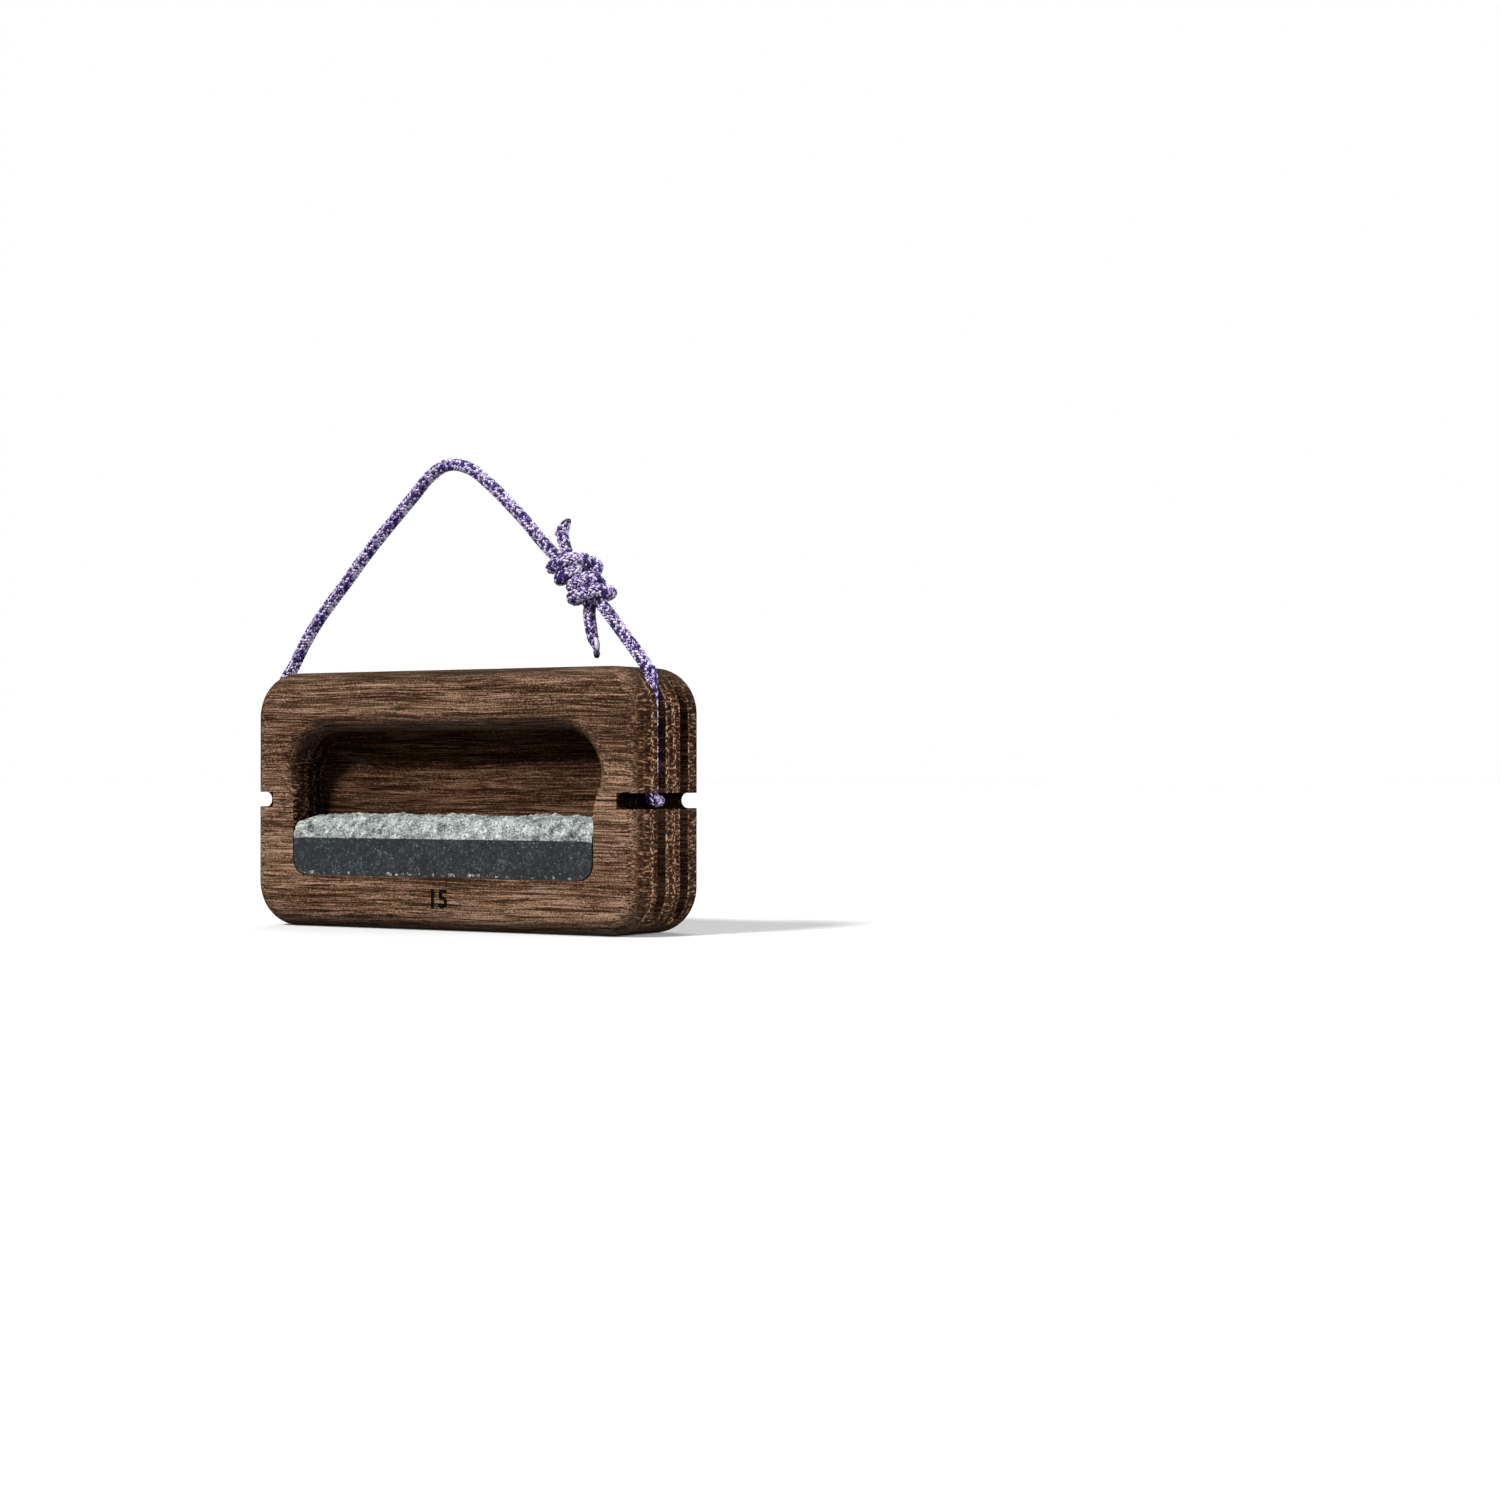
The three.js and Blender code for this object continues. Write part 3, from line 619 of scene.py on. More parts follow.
def stone_bar(name, node, depth, honed_slate, seed, turn):
    """A bar as a sleeve of its section along X, closed at its ends, with a rough split lip."""
    section = stone_section(depth)
    half = POCKET_WIDTH / 2 - STONE_SIDE_GAP
    corner = POCKET_LOWER_RADIUS - STONE_SIDE_GAP
    columns = round(2 * half / STONE_GRID)
    bm = bmesh.new()
    bmesh.ops.create_grid(bm, x_segments=columns, y_segments=len(section), size=1)
    bm.verts.ensure_lookup_table()
    split_layer = bm.verts.layers.float.new("split")
    for index, vert in enumerate(bm.verts):
        row, column = divmod(index, columns + 1)
        y, z, split = section[row % len(section)]
        x = half * (2 * column / columns - 1)
        over = max(0.0, abs(x) - (half - corner))
        foot = STONE_FOOT + corner - math.sqrt(max(corner ** 2 - over ** 2, 0))
        if z < STONE_LIP:
            z = foot + (z - STONE_FOOT) * (STONE_LIP - foot) / (STONE_LIP - STONE_FOOT)
        vert.co = (x, FRONT_FACE + y, z)
        vert[split_layer] = split
    bmesh.ops.remove_doubles(bm, verts=bm.verts, dist=SAME_PLACE)
    bmesh.ops.holes_fill(bm, edges=[e for e in bm.edges if e.is_boundary], sides=0)
    bmesh.ops.recalc_face_normals(bm, faces=bm.faces)
    roughen(bm, split_layer, seed, half)
    if turn:
        turned_round(bm)
    bar = object_from(bm, name)
    bar.data.materials.append(honed_slate)
    smooth_shade(bar, STONE_SHARP_ANGLE)
    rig.ride(bar, "board")
    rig.slot(bar, "stone")
    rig.replaces(bar, node)


def roughen(bm, split_layer, seed, half):
    """Moves the split faces in and out as a struck stone breaks, in shells, chunks and grains,
    and nibbles the honed face's lower edge."""
    bm.normal_update()
    offset = Vector((seed, SEED_SLANT * seed, 0))
    nibbled_height = NIBBLED_SHARE * CHIPPED_HEIGHT
    moves = []
    for vert in bm.verts:
        place = vert.co / MM
        inward = vert.co.y - FRONT_FACE
        up = vert.co.z - STONE_FOOT
        if vert[split_layer]:
            chunks = CELL_MIDDLE_SHARE - noise.voronoi(place / CHUNK_SIZE + offset)[0][0]
            chips = CELL_MIDDLE_SHARE - noise.voronoi(place / CHIP_SIZE + offset)[0][0]
            relief = SHELL_SHARE * noise.noise(place / SHELL_SIZE + offset)
            relief += CHUNK_SHARE * chunks + CHIP_SHARE * chips
            relief += GRAIN_SHARE * noise.fractal(
                place / GRAIN_SIZE + offset, GRAIN_FALL_OFF, GRAIN_REFINEMENT, GRAIN_OCTAVES
            )
            relief *= SPLIT_RELIEF * min(1, math.hypot(vert.co.z - STONE_LIP, inward) / LIP_FADE)
            ends = min(1, (half - abs(vert.co.x)) / WORN_END_LENGTH)
            move = vert.normal * relief - Vector((0, 0, (1 - ends) ** 2 * WORN_END_DROP))
            moves.append((vert, Vector((0, move.y, move.z))))
        elif inward < STONE_GRID / 2 and up < nibbled_height:
            bite = noise.noise(place / BITE_SIZE + offset)
            bite += SMALL_BITE_SHARE * noise.noise(place / SMALL_BITE_SIZE + offset)
            depth = min(max(bite - BITE_START, 0) * BITE_STEEPNESS, BITE_LIMIT) * MM
            depth *= 1 - up / nibbled_height
            vert[split_layer] = min(1, depth / BROKEN_DEPTH)
            moves.append((vert, Vector((0, depth, 0))))
    for vert, move in moves:
        vert.co += move


# The cord's route, in millimetres. Over the end of the groove from the pivot, where the loop
# swings: in from the end face, and over the board's top.
OVER_TOP_ROUTE = (
    (7.35, 2.5), (4.9, -0.42), (4.15, -1.32), (3.78, -1.96), (3.65, -3.0), (3.6, -5.0), (3.55, -9.0),
)
# Down the groove: in from the end face, and the share of the way to the notch
DOWN_GROOVE_ROUTE = ((3.55, 0.27), (3.55, 0.59), (3.55, 0.86))
# Round in the notch and into the bore: in from the end face, the share of the way back from
# the groove to the bore, and over the middle of the notch
INTO_BORE_ROUTE = (
    (3.55, 0, 5.4), (3.57, 0.003, 3.2), (3.7, 0.058, 1.2), (4.1, 0.225, 0.15), (4.6, 0.48, 0),
    (5.5, 0.757, 0), (7.0, 0.954, 0), (9.5, 1, 0), (14.0, 1, 0),
)
# Along the bore: shares of the last place's distance from the middle
ALONG_BORE_SHARES = (1, 0.5, 0, -0.5, -1)

# The free loop in the plane of the front grooves, each strand from its pivot to the knot: in
# shares of a pivot's distance from the middle, and over the board's top
LEFT_LOOP_ROUTE = (
    (-1, 2.5), (-0.9662, 6.2), (-0.9092, 11.7), (-0.8432, 17.3), (-0.7577, 23.3),
    (-0.6677, 29.4), (-0.5581, 37.1), (-0.4141, 46.2), (-0.2836, 54.1), (-0.183, 60.3),
    (-0.102, 63.3), (-0.027, 63.7), (0.0735, 61.5), (0.1605, 57.3), (0.2761, 50.7), (0.3826, 44),
    (0.4591, 38.7), (0.5161, 35.1),
)
RIGHT_LOOP_ROUTE = (
    (1, 2.5), (0.9632, 5.4), (0.9167, 9), (0.8717, 12.5), (0.8267, 16),
)

# The knot: its middle in the same way, its axis, and the tails past it as distances along the
# axis and across it, with the share of the cord's thickness that is left there
PIVOT_X = BOARD_HIGH.x - OVER_TOP_ROUTE[0][0] * MM
KNOT_CENTRE = Vector((0.6632 * PIVOT_X, CORD_PLANE, BOARD_HEIGHT + 26.6 * MM))
KNOT_AXIS = Vector((0.616, 0, -0.788)).normalized()
KNOT_ACROSS = Vector((0.788, 0, 0.616)).normalized()
KNOT_FORWARD = Vector((0, -1, 0))
LOWER_TAIL_ROUTE = (
    (10.6, -3.3, 1), (14.0, -5.3, 1), (17.7, -7.0, 0.9), (20.1, -7.6, 0.66), (22.1, -8.8, 0.4),
)
UPPER_TAIL_ROUTE = ((-13.2, 3.2, 1), (-15.2, 4.5, 1), (-15.9, 6.3, 0.9), (-16.2, 7.6, 0.6))

CORD_DIAMETER = 4 * MM
CURVE_STEPS = 24
PATH_STRIDE = 4
BEND_REACH = 3.5 * MM
NEARLY_UPRIGHT = 0.1

# The knot's sizes as its solids have them, but for the wraps' pitch and the squeeze, which press
# the cord thicker until its wraps touch
KNOT_WRAP_PITCH = 4.35 * MM
KNOT_WRAP_DIAMETER = 3.2 * MM
KNOT_CORE_DIAMETER = 2.8 * MM
KNOT_LAYER_GAP = 0.56 * MM
KNOT_SQUEEZE = 0.56 * MM
CORE_OFFSET = (KNOT_CORE_DIAMETER + KNOT_LAYER_GAP) / 2
WRAP_RADIUS = KNOT_CORE_DIAMETER / 2 + KNOT_LAYER_GAP + KNOT_WRAP_DIAMETER / 2
LAYER_STEP = KNOT_WRAP_DIAMETER + KNOT_LAYER_GAP
WRAP_TURNS = 1
LAST_TURN_SHARE = 1 / 4
WRAP_POINTS_PER_TURN = 12
OUTER_WRAP_SHARE = 0.74 + WRAP_TURNS
CORE_TURN_SHARE = 0.7
KNOT_LEAN = 0.25
KNOT_HALF_WIDTH = 4.25 * MM
# Each half is turned about the knot's axis, against the other: most in its middle and not at all
# at its ends.
KNOT_TWIST = math.radians(20)
KNOT_TWIST_REACH = 9.3 * MM

# Shares for one strand's places in the knot: through the other's core; riding over its own
# wraps, as degrees, pitches along and layers; tucking in; and out through its own core
CORE_IN_SHARES = (-2.13, -1.55, -0.95, -0.42)
RIDE_SHARES = (
    (238, 0.13, 0.05), (244, 0.42, 0.7), (256, 0.8, 1), (274, 1.15, 1), (298, 1.5, 0.8),
    (330, 1.7, 0.3), (358, 1.76, 0),
)
TUCK_SHARES = ((0.52, 1.35, 0.72), (0.6, 1.4, 0.3), (0.95, 1, 0.03))
CORE_OUT_SHARES = (1.42, 2.13)

# The braid: twenty-four carriers, twelve each way round, two over and two under
CARRIERS_EACH_WAY = 12
BRAID_PITCH = 14 * MM
STATIONS_PER_PITCH = 34
YARN_SIDES = 5
YARN_WIDTH = 0.84 * MM
YARN_THICKNESS = 0.56 * MM
CROSSING_HEIGHT = 0.26 * MM
CLOCKWISE_TINTS = (1.0, 0.8, 0.3, 0.9, 0.2, 0.1, 0.5, 0.0, 0.2, 0.6, 0.1, 0.7)
COUNTER_TINTS = (0.9, 1.0, 0.4, 0.7, 0.1, 0.0, 0.3, 0.0, 0.5, 0.2, 0.8, 0.3)
MELTED_TINT = 2.0
WHITE_TINT = -1.0

# The melted end, the bare core some stations behind it, and the ripples on both
MELTED_RADIUS = 1.05 * MM
MELTED_STRETCH = 1.3
MELTED_INSET = 0.2 * MM
BARE_CORE_RADIUS = 0.85 * MM
BARE_CORE_STRETCH = 2.4
CORE_STATIONS = 8
CORE_SIDE_SHARE = 0.75
LUMP_SUBDIVISIONS = 3
RIPPLE_SIZE = 0.7 * MM
RIPPLE_SHARE = 0.22


def knot_place(along, across, forward):
    return KNOT_CENTRE + KNOT_AXIS * along + KNOT_ACROSS * across + KNOT_FORWARD * forward


def wrap_place(angle, along, layer):
    """A place on a layer of wraps round the two cores, whose section is a long round."""
    radius = WRAP_RADIUS + LAYER_STEP * layer
    share = (math.cos(angle) + CORE_TURN_SHARE) / (2 * CORE_TURN_SHARE)
    share = min(max(share, 0), 1)
    side = 2 * share * share * (3 - 2 * share) - 1
    return along, radius * math.cos(angle) + CORE_OFFSET * side, radius * math.sin(angle)


def twisted_place(along, across, forward):
    """A place in the knot, turned about the knot's axis by the twist there."""
    reach = min(max(along / KNOT_TWIST_REACH, -1), 1)
    turn = -KNOT_TWIST * math.sin(math.pi * reach)
    turned_across = across * math.cos(turn) - forward * math.sin(turn)
    turned_forward = across * math.sin(turn) + forward * math.cos(turn)
    return knot_place(along, turned_across, turned_forward)


def strand_through_knot(turned):
    """A strand's places in the double fisherman's bend, each with the cord's radius there."""
    core = -CORE_OFFSET
    core_radius = KNOT_CORE_DIAMETER / 2 + KNOT_SQUEEZE
    wrap_radius = KNOT_WRAP_DIAMETER / 2 + KNOT_SQUEEZE
    way = [((share * KNOT_WRAP_PITCH, core, 0), core_radius) for share in CORE_IN_SHARES]
    for degrees, share, layer in RIDE_SHARES:
        way.append((wrap_place(math.radians(degrees), share * KNOT_WRAP_PITCH, layer), wrap_radius))
    for i in range(1, round(WRAP_POINTS_PER_TURN * (WRAP_TURNS + LAST_TURN_SHARE)) + 1):
        turns = i / WRAP_POINTS_PER_TURN
        along = (OUTER_WRAP_SHARE - turns) * KNOT_WRAP_PITCH
        way.append((wrap_place(2 * math.pi * turns, along, 0), wrap_radius))
    for share, across, forward in TUCK_SHARES:
        way.append(((share * KNOT_WRAP_PITCH, across * core, forward * WRAP_RADIUS), core_radius))
    way += [((share * KNOT_WRAP_PITCH, core, 0), core_radius) for share in CORE_OUT_SHARES]
    sign = -1 if turned else 1
    places = []
    for (along, across, forward), radius in way:
        across = min(max(across, -KNOT_HALF_WIDTH), KNOT_HALF_WIDTH)
        along = sign * (along + KNOT_LEAN * across)
        places.append((twisted_place(along, sign * across, forward), radius))
    return places


def held_places():
    """The places that the board holds at its right end, from the pivot to inside the bore."""
    end = BOARD_HIGH.x
    middle = BOARD_HEIGHT / 2
    over_top = [Vector((end - i * MM, CORD_PLANE, BOARD_HEIGHT + r * MM)) for i, r in OVER_TOP_ROUTE]
    into_bore = []
    for inset, share, rise in INTO_BORE_ROUTE:
        y = CORD_PLANE + (WEB_MIDDLE - CORD_PLANE) * share
        into_bore.append(Vector((end - inset * MM, y, middle + rise * MM)))
    down_groove = []
    for inset, share in DOWN_GROOVE_ROUTE:
        z = over_top[-1].z + (into_bore[0].z - over_top[-1].z) * share
        down_groove.append(Vector((end - inset * MM, CORD_PLANE, z)))
    return over_top + down_groove + into_bore


def strand_way(side, loop_route, turned, tail_route):
    """A whole strand from inside the bore, out at one end, over the pivot, to its tail."""
    radius = CORD_DIAMETER / 2
    held = [(Vector((side * p.x, p.y, p.z)), radius) for p in reversed(held_places())]
    leg = []
    for share, rise in loop_route[1:]:
        leg.append((Vector((share * PIVOT_X, CORD_PLANE, BOARD_HEIGHT + rise * MM)), radius))
    tail = []
    for along, across, share in tail_route:
        tail.append((knot_place(along * MM, across * MM, 0), radius * share))
    return held + leg + strand_through_knot(turned) + tail


def smooth_line(way, spacing):
    """Evenly spaced places on one smooth curve through a way's places, with the radius and the
    distance along the curve at each."""
    places = np.array([list(place) for place, radius in way])
    radii = np.array([radius for place, radius in way])
    ends = 2 * places[[0, -1]] - places[[1, -2]]
    padded = np.vstack([ends[:1], places, ends[1:]])
    steps = np.sqrt(np.linalg.norm(np.diff(padded, axis=0), axis=1))
    fine = []
    fine_radii = []
    shares = np.linspace(0, 1, CURVE_STEPS, endpoint=False)[:, None]
    for i in range(len(places) - 1):
        p0, p1, p2, p3 = padded[i:i + 4]
        d0, d1, d2 = steps[i:i + 3]
        t1 = ((p1 - p0) / d0 - (p2 - p0) / (d0 + d1) + (p2 - p1) / d1) * d1
        t2 = ((p2 - p1) / d1 - (p3 - p1) / (d1 + d2) + (p3 - p2) / d2) * d1
        cubic = 2 * p1 - 2 * p2 + t1 + t2
        square = -3 * p1 + 3 * p2 - 2 * t1 - t2
        fine.append(p1 + t1 * shares + square * shares ** 2 + cubic * shares ** 3)
        fine_radii.append(radii[i] + (radii[i + 1] - radii[i]) * shares[:, 0])
    fine = np.vstack([*fine, places[-1:]])
    fine_radii = np.append(np.concatenate(fine_radii), radii[-1])
    along = np.append(0, np.cumsum(np.linalg.norm(np.diff(fine, axis=0), axis=1)))
    stations = np.linspace(0, along[-1], round(along[-1] / spacing) + 1)
    line = np.column_stack([np.interp(stations, along, fine[:, axis]) for axis in range(3)])
    return line, np.interp(stations, along, fine_radii), stations


def untwisted_frames(line):
    """Two directions square to a line at each place, carried along it without twist."""
    tangents = np.gradient(line, axis=0)
    tangents /= np.linalg.norm(tangents, axis=1)[:, None]
    normal = np.cross(tangents[0], (0.0, 0.0, 1.0))
    if np.linalg.norm(normal) < NEARLY_UPRIGHT:
        normal = np.cross(tangents[0], (0.0, 1.0, 0.0))
    normals = []
    for tangent in tangents:
        normal = normal - tangent * (normal @ tangent)
        normal = normal / np.linalg.norm(normal)
        normals.append(normal)
    normals = np.array(normals)
    return normals, np.cross(tangents, normals)


def over_and_under(carrier, steps, sign):
    """1 where a carrier lies over the two that it crosses next, and -1 where it lies under them,
    with smooth turns between."""
    below = np.floor(steps)
    share = steps - below
    share = share * share * (3 - 2 * share)

    def height(crossing):
        if sign > 0:
            return np.where(np.mod(2 * carrier + crossing, 4) < 2, 1.0, -1.0)
        return np.where(np.mod(2 * carrier - crossing, 4) < 2, -1.0, 1.0)

    return height(below) * (1 - share) + height(below + 1) * share


def yarn_rows(centre, outward, slim):
    """The rows of places round one flat yarn, whose middle runs along a line of its own."""
    along = np.gradient(centre, axis=0)
    along /= np.linalg.norm(along, axis=1)[:, None]
    across = np.cross(along, outward)
    across /= np.linalg.norm(across, axis=1)[:, None]
    rows = []
    for row in range(YARN_SIDES + 1):
        turn = 2 * math.pi * row / YARN_SIDES
        ring = centre + across * (YARN_WIDTH / 2 * slim * math.cos(turn))
        rows.append(ring + outward * (YARN_THICKNESS / 2 * slim * math.sin(turn)))
    return rows


def braid_bmesh(line, radii, stations):
    """Flat yarns wound both ways round a line, as grids rolled up into closed tubes."""
    normals, binormals = untwisted_frames(line)
    steps = stations / (BRAID_PITCH / (2 * CARRIERS_EACH_WAY))
    slim = (radii / (CORD_DIAMETER / 2))[:, None]
    count = len(line)
    grid_size = count * (YARN_SIDES + 1)
    bm = bmesh.new()
    uv_layer = bm.loops.layers.uv.new("yarn")
    tint_layer = bm.verts.layers.float.new("tint")
    rise_layer = bm.verts.layers.float.new("rise")
    places = []
    tints = []
    rises = []
    for sign, carrier_tints in ((1, CLOCKWISE_TINTS), (-1, COUNTER_TINTS)):
        for carrier, tint in enumerate(carrier_tints):
            angle = sign * 2 * math.pi * stations / BRAID_PITCH
            angle = angle + 2 * math.pi * carrier / CARRIERS_EACH_WAY
            outward = normals * np.cos(angle)[:, None] + binormals * np.sin(angle)[:, None]
            rise = over_and_under(carrier, steps, sign)
            height = radii - YARN_THICKNESS / 2 - CROSSING_HEIGHT + CROSSING_HEIGHT * rise
            bmesh.ops.create_grid(bm, x_segments=count - 1, y_segments=YARN_SIDES, size=1)
            places += yarn_rows(line + outward * height[:, None], outward, slim)
            tints += [tint] * grid_size
            rises += list(rise) * (YARN_SIDES + 1)
    places = np.vstack(places)
    bm.verts.ensure_lookup_table()
    for vert, place, tint, rise in zip(bm.verts, places, tints, rises):
        vert.co = place
        vert[tint_layer] = tint
        vert[rise_layer] = rise
    for face in bm.faces:
        for loop in face.loops:
            row, column = divmod(loop.vert.index % grid_size, count)
            loop[uv_layer].uv = (stations[column] / MM, row / YARN_SIDES)
    bmesh.ops.remove_doubles(bm, verts=bm.verts, dist=NOTHING)
    bmesh.ops.holes_fill(bm, edges=[e for e in bm.edges if e.is_boundary], sides=0)
    bmesh.ops.recalc_face_normals(bm, faces=bm.faces)
    return bm


def add_lump(bm, centre, way, radius, stretch, tint):
    """A rounded lump at a cord's cut end, drawn out along a way."""
    turn = Vector(way).to_track_quat("Z", "Y").to_matrix().to_4x4()
    place = Matrix.Translation(centre) @ turn @ Matrix.Diagonal((1, 1, stretch, 1))
    made = bmesh.ops.create_icosphere(
        bm, subdivisions=LUMP_SUBDIVISIONS, radius=radius, matrix=place
    )["verts"]
    tint_layer = bm.verts.layers.float["tint"]
    rise_layer = bm.verts.layers.float["rise"]
    for vert in made:
        ripple = noise.noise(vert.co / RIPPLE_SIZE) * RIPPLE_SHARE * radius
        vert.co += (vert.co - Vector(centre)).normalized() * ripple
        vert[tint_layer] = tint
        vert[rise_layer] = 1


def add_melted_end(bm, line, radii, core_side):
    """Closes a tail: its sheath melted to a dark skin, with the white core bare beside it."""
    tip = Vector(line[-1])
    behind = Vector(line[-CORE_STATIONS])
    way = (tip - behind).normalized()
    side = Vector(core_side).normalized() * float(radii[-CORE_STATIONS]) * CORE_SIDE_SHARE
    add_lump(bm, tip - way * MELTED_INSET, way, MELTED_RADIUS, MELTED_STRETCH, MELTED_TINT)
    add_lump(bm, behind + side, way, BARE_CORE_RADIUS, BARE_CORE_STRETCH, WHITE_TINT)


def cord_strand(name, way, sheath, core_side=None):
    """A braided cord along a way, with its tail melted where the core's side is given."""
    line, radii, stations = smooth_line(way, BRAID_PITCH / STATIONS_PER_PITCH)
    bm = braid_bmesh(line, radii, stations)
    if core_side:
        add_melted_end(bm, line, radii, core_side)
    cord = object_from(bm, name)
    cord.data.materials.append(sheath)
    cord.data.shade_smooth()
    return cord, line, stations[-1]


def add_cord(sheath):
    """The cord's two strands, which bend where the loop swings, and its run in the bore."""
    strands = (
        ("cord_left", -1, LEFT_LOOP_ROUTE, False, LOWER_TAIL_ROUTE, (1, -0.6, 0.3)),
        ("cord_right", 1, RIGHT_LOOP_ROUTE, True, UPPER_TAIL_ROUTE, (-1, -0.4, 0)),
    )
    for name, side, route, turned, tail, core_side in strands:
        way = strand_way(side, route, turned, tail)
        cord, line, length = cord_strand(name, way, sheath, core_side)
        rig.blend(
            cord, "board", "cord_loop",
            start=(0, CORD_PLANE, PIVOT_HEIGHT - BEND_REACH),
            end=(0, CORD_PLANE, PIVOT_HEIGHT + BEND_REACH),
        )
        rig.slot(cord, "cord")
        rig.replaces(cord, name + "_strand")
        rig.cord(
            cord, exit=line[0], length=length, diameter=CORD_DIAMETER, far_end="knot",
            stiffness="medium", lay="hanging", path=line[::PATH_STRIDE],
        )
    mouth = held_places()[-1]
    way = []
    for share in ALONG_BORE_SHARES:
        way.append((Vector((mouth.x * share, mouth.y, mouth.z)), CORD_DIAMETER / 2))
    held = cord_strand("cord_in_bore", way, sheath)[0]
    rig.ride(held, "board")
    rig.slot(held, "cord")
    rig.replaces(held, "cord_held_run")


# Materials

# Settings that many nodes share. A Mix node takes its share at socket 0, its colours at 6 and 7.
SMOOTHLY = {"interpolation_type": "SMOOTHSTEP"}
COLOURS = {"data_type": "RGBA"}
# A Mix that multiplies a colour by painted shade.
PAINTED_SHADE_MIX = {"data_type": "RGBA", "blend_type": "MULTIPLY"}


def add_node(tree, kind, inputs=(), stops=(), **settings):
    """Adds a node with its settings, its inputs as values or as sockets to link, and a ramp's
    stops as places and colours, and gives back its outputs."""
    node = tree.nodes.new("ShaderNode" + kind)
    for name, value in settings.items():
        setattr(node, name, value)
    for key, value in inputs.items() if isinstance(inputs, dict) else enumerate(inputs):
        if isinstance(value, bpy.types.NodeSocket):
            tree.links.new(value, node.inputs[key])
        else:
            node.inputs[key].default_value = value
    for index, (place, colour) in enumerate(stops):
        if index >= len(node.color_ramp.elements):
            node.color_ramp.elements.new(place)
        node.color_ramp.elements[index].position = place
        node.color_ramp.elements[index].color = linear(colour)
    return node.outputs


def new_material(name):
    material = bpy.data.materials.new(name)
    material.use_nodes = True
    material.node_tree.nodes.clear()
    return material, material.node_tree


def finish_material(tree, **inputs):
    """The one shader of a material, with its inputs by name."""
    inputs = {name.replace("_", " "): value for name, value in inputs.items()}
    surface = add_node(tree, "BsdfPrincipled", inputs)[0]
    add_node(tree, "OutputMaterial", {"Surface": surface})


def oak_patterns(tree, wood):
    """The oak's patterns by name, each sized along the grain, through the board and up its face."""
    patterns = {}
    for label, kind, size, inputs in (
        ("fibre", "TexNoise", (18, 0.6, 0.34), {"Detail": 3, "Roughness": 0.6}),
        ("line", "TexNoise", (26, 1.3, 0.62), {"Detail": 1}),
        ("band", "TexNoise", (40, 3, 1.6), {"Detail": 2}),
        ("figure", "TexNoise", (90, 30, 14), {"Detail": 1}),
        ("fuzz", "TexNoise", (0.5, 0.32, 0.32), {"Detail": 1}),
        ("vessel", "TexVoronoi", (9, 0.7, 0.6), {}),
        ("curl", "TexVoronoi", (1.2, 0.85, 0.72), {}),
        ("ray", "TexNoise", (3, 2.4, 0.6), {"Detail": 2}),
    ):
        sized = add_node(tree, "VectorMath", (wood, size), operation="DIVIDE")[0]
        node = add_node(tree, kind, {"Vector": sized, "Scale": 1, **inputs})
        patterns[label] = node["Distance" if kind == "TexVoronoi" else "Fac"]
    return patterns


def long_grain(tree, place, patterns):
    """The colour of a face that was sawn along the grain."""
    tone = add_node(tree, "Math", (patterns["band"], 0.2), operation="MULTIPLY")[0]
    for label, share in (("fibre", 0.5), ("figure", 0.2), ("fuzz", 0.36)):
        tone = add_node(tree, "Math", (patterns[label], share, tone), operation="MULTIPLY_ADD")[0]
    # Painted light: the board is a shade darker towards its top and paler low down, standing in for light that the
    # floor throws back up onto its lower part.
    height = add_node(tree, "SeparateXYZ", (place,))["Z"]
    darker = add_node(tree, "MapRange", (height, 20, 78, 0.018, -0.036))[0]
    tone = add_node(tree, "Math", (tone, darker), operation="ADD")[0]
    # A paler patch lies at the right of the pocket.
    pale = add_node(tree, "VectorMath", (place, (16, 60, 20)), operation="DIVIDE")[0]
    pale = add_node(tree, "VectorMath", (pale, (3.95, 0, 2.3)), operation="DISTANCE")["Value"]
    pale = add_node(tree, "MapRange", (pale, 0.3, 1.3, 0.026, 0), **SMOOTHLY)[0]
    tone = add_node(tree, "Math", (tone, pale), operation="ADD")[0]
    colour = add_node(
        tree, "ValToRGB", (tone,),
        ((0.54, "#261811"), (0.59, "#45301f"), (0.63, "#5d4534"), (0.67, "#735847"), (0.74, "#9c7e69")),
    )[0]
    # Dark lines of latewood, one or two millimetres apart
    line = add_node(tree, "MapRange", (patterns["line"], 0.46, 0.34, 0, 0.75), **SMOOTHLY)[0]
    return add_node(tree, "Mix", {0: line, 6: colour, 7: linear("#24150d")}, **COLOURS)[2]


def end_grain(tree, wood, patterns):
    """The colour of a face that was sawn across the grain."""
    # Growth rings lie level with the faces, with wide vessels at the start of each.
    depth = add_node(tree, "SeparateXYZ", (wood,))["Y"]
    ring = add_node(tree, "Math", (depth, 100 * GROWTH_RING + RING_START), operation="ADD")[0]
    ring = add_node(tree, "Math", (ring, GROWTH_RING / 2), operation="PINGPONG")[0]
    early = add_node(tree, "MapRange", (ring, GROWTH_RING * 0.3, GROWTH_RING * 0.14), **SMOOTHLY)[0]
    # The outermost rings are too worn on the rounded edges to show their vessels.
    deep = add_node(tree, "Math", (depth,), operation="ABSOLUTE")[0]
    deep = add_node(tree, "MapRange", (deep, 13.5, 11.5), **SMOOTHLY)[0]
    early = add_node(tree, "Math", (early, deep), operation="MULTIPLY")[0]
    late = add_node(
        tree, "ValToRGB", (patterns["ray"],),
        ((0.42, "#1a0e07"), (0.54, "#382317"), (0.6, "#543a29"), (0.66, "#94765f")),
    )[0]
    curls = add_node(
        tree, "ValToRGB", (patterns["curl"],),
        ((0.2, "#22130a"), (0.48, "#3c2417"), (0.6, "#6c4d38"), (0.72, "#b8977d")),
    )[0]
    return add_node(tree, "Mix", {0: early, 6: late, 7: curls}, **COLOURS)[2]


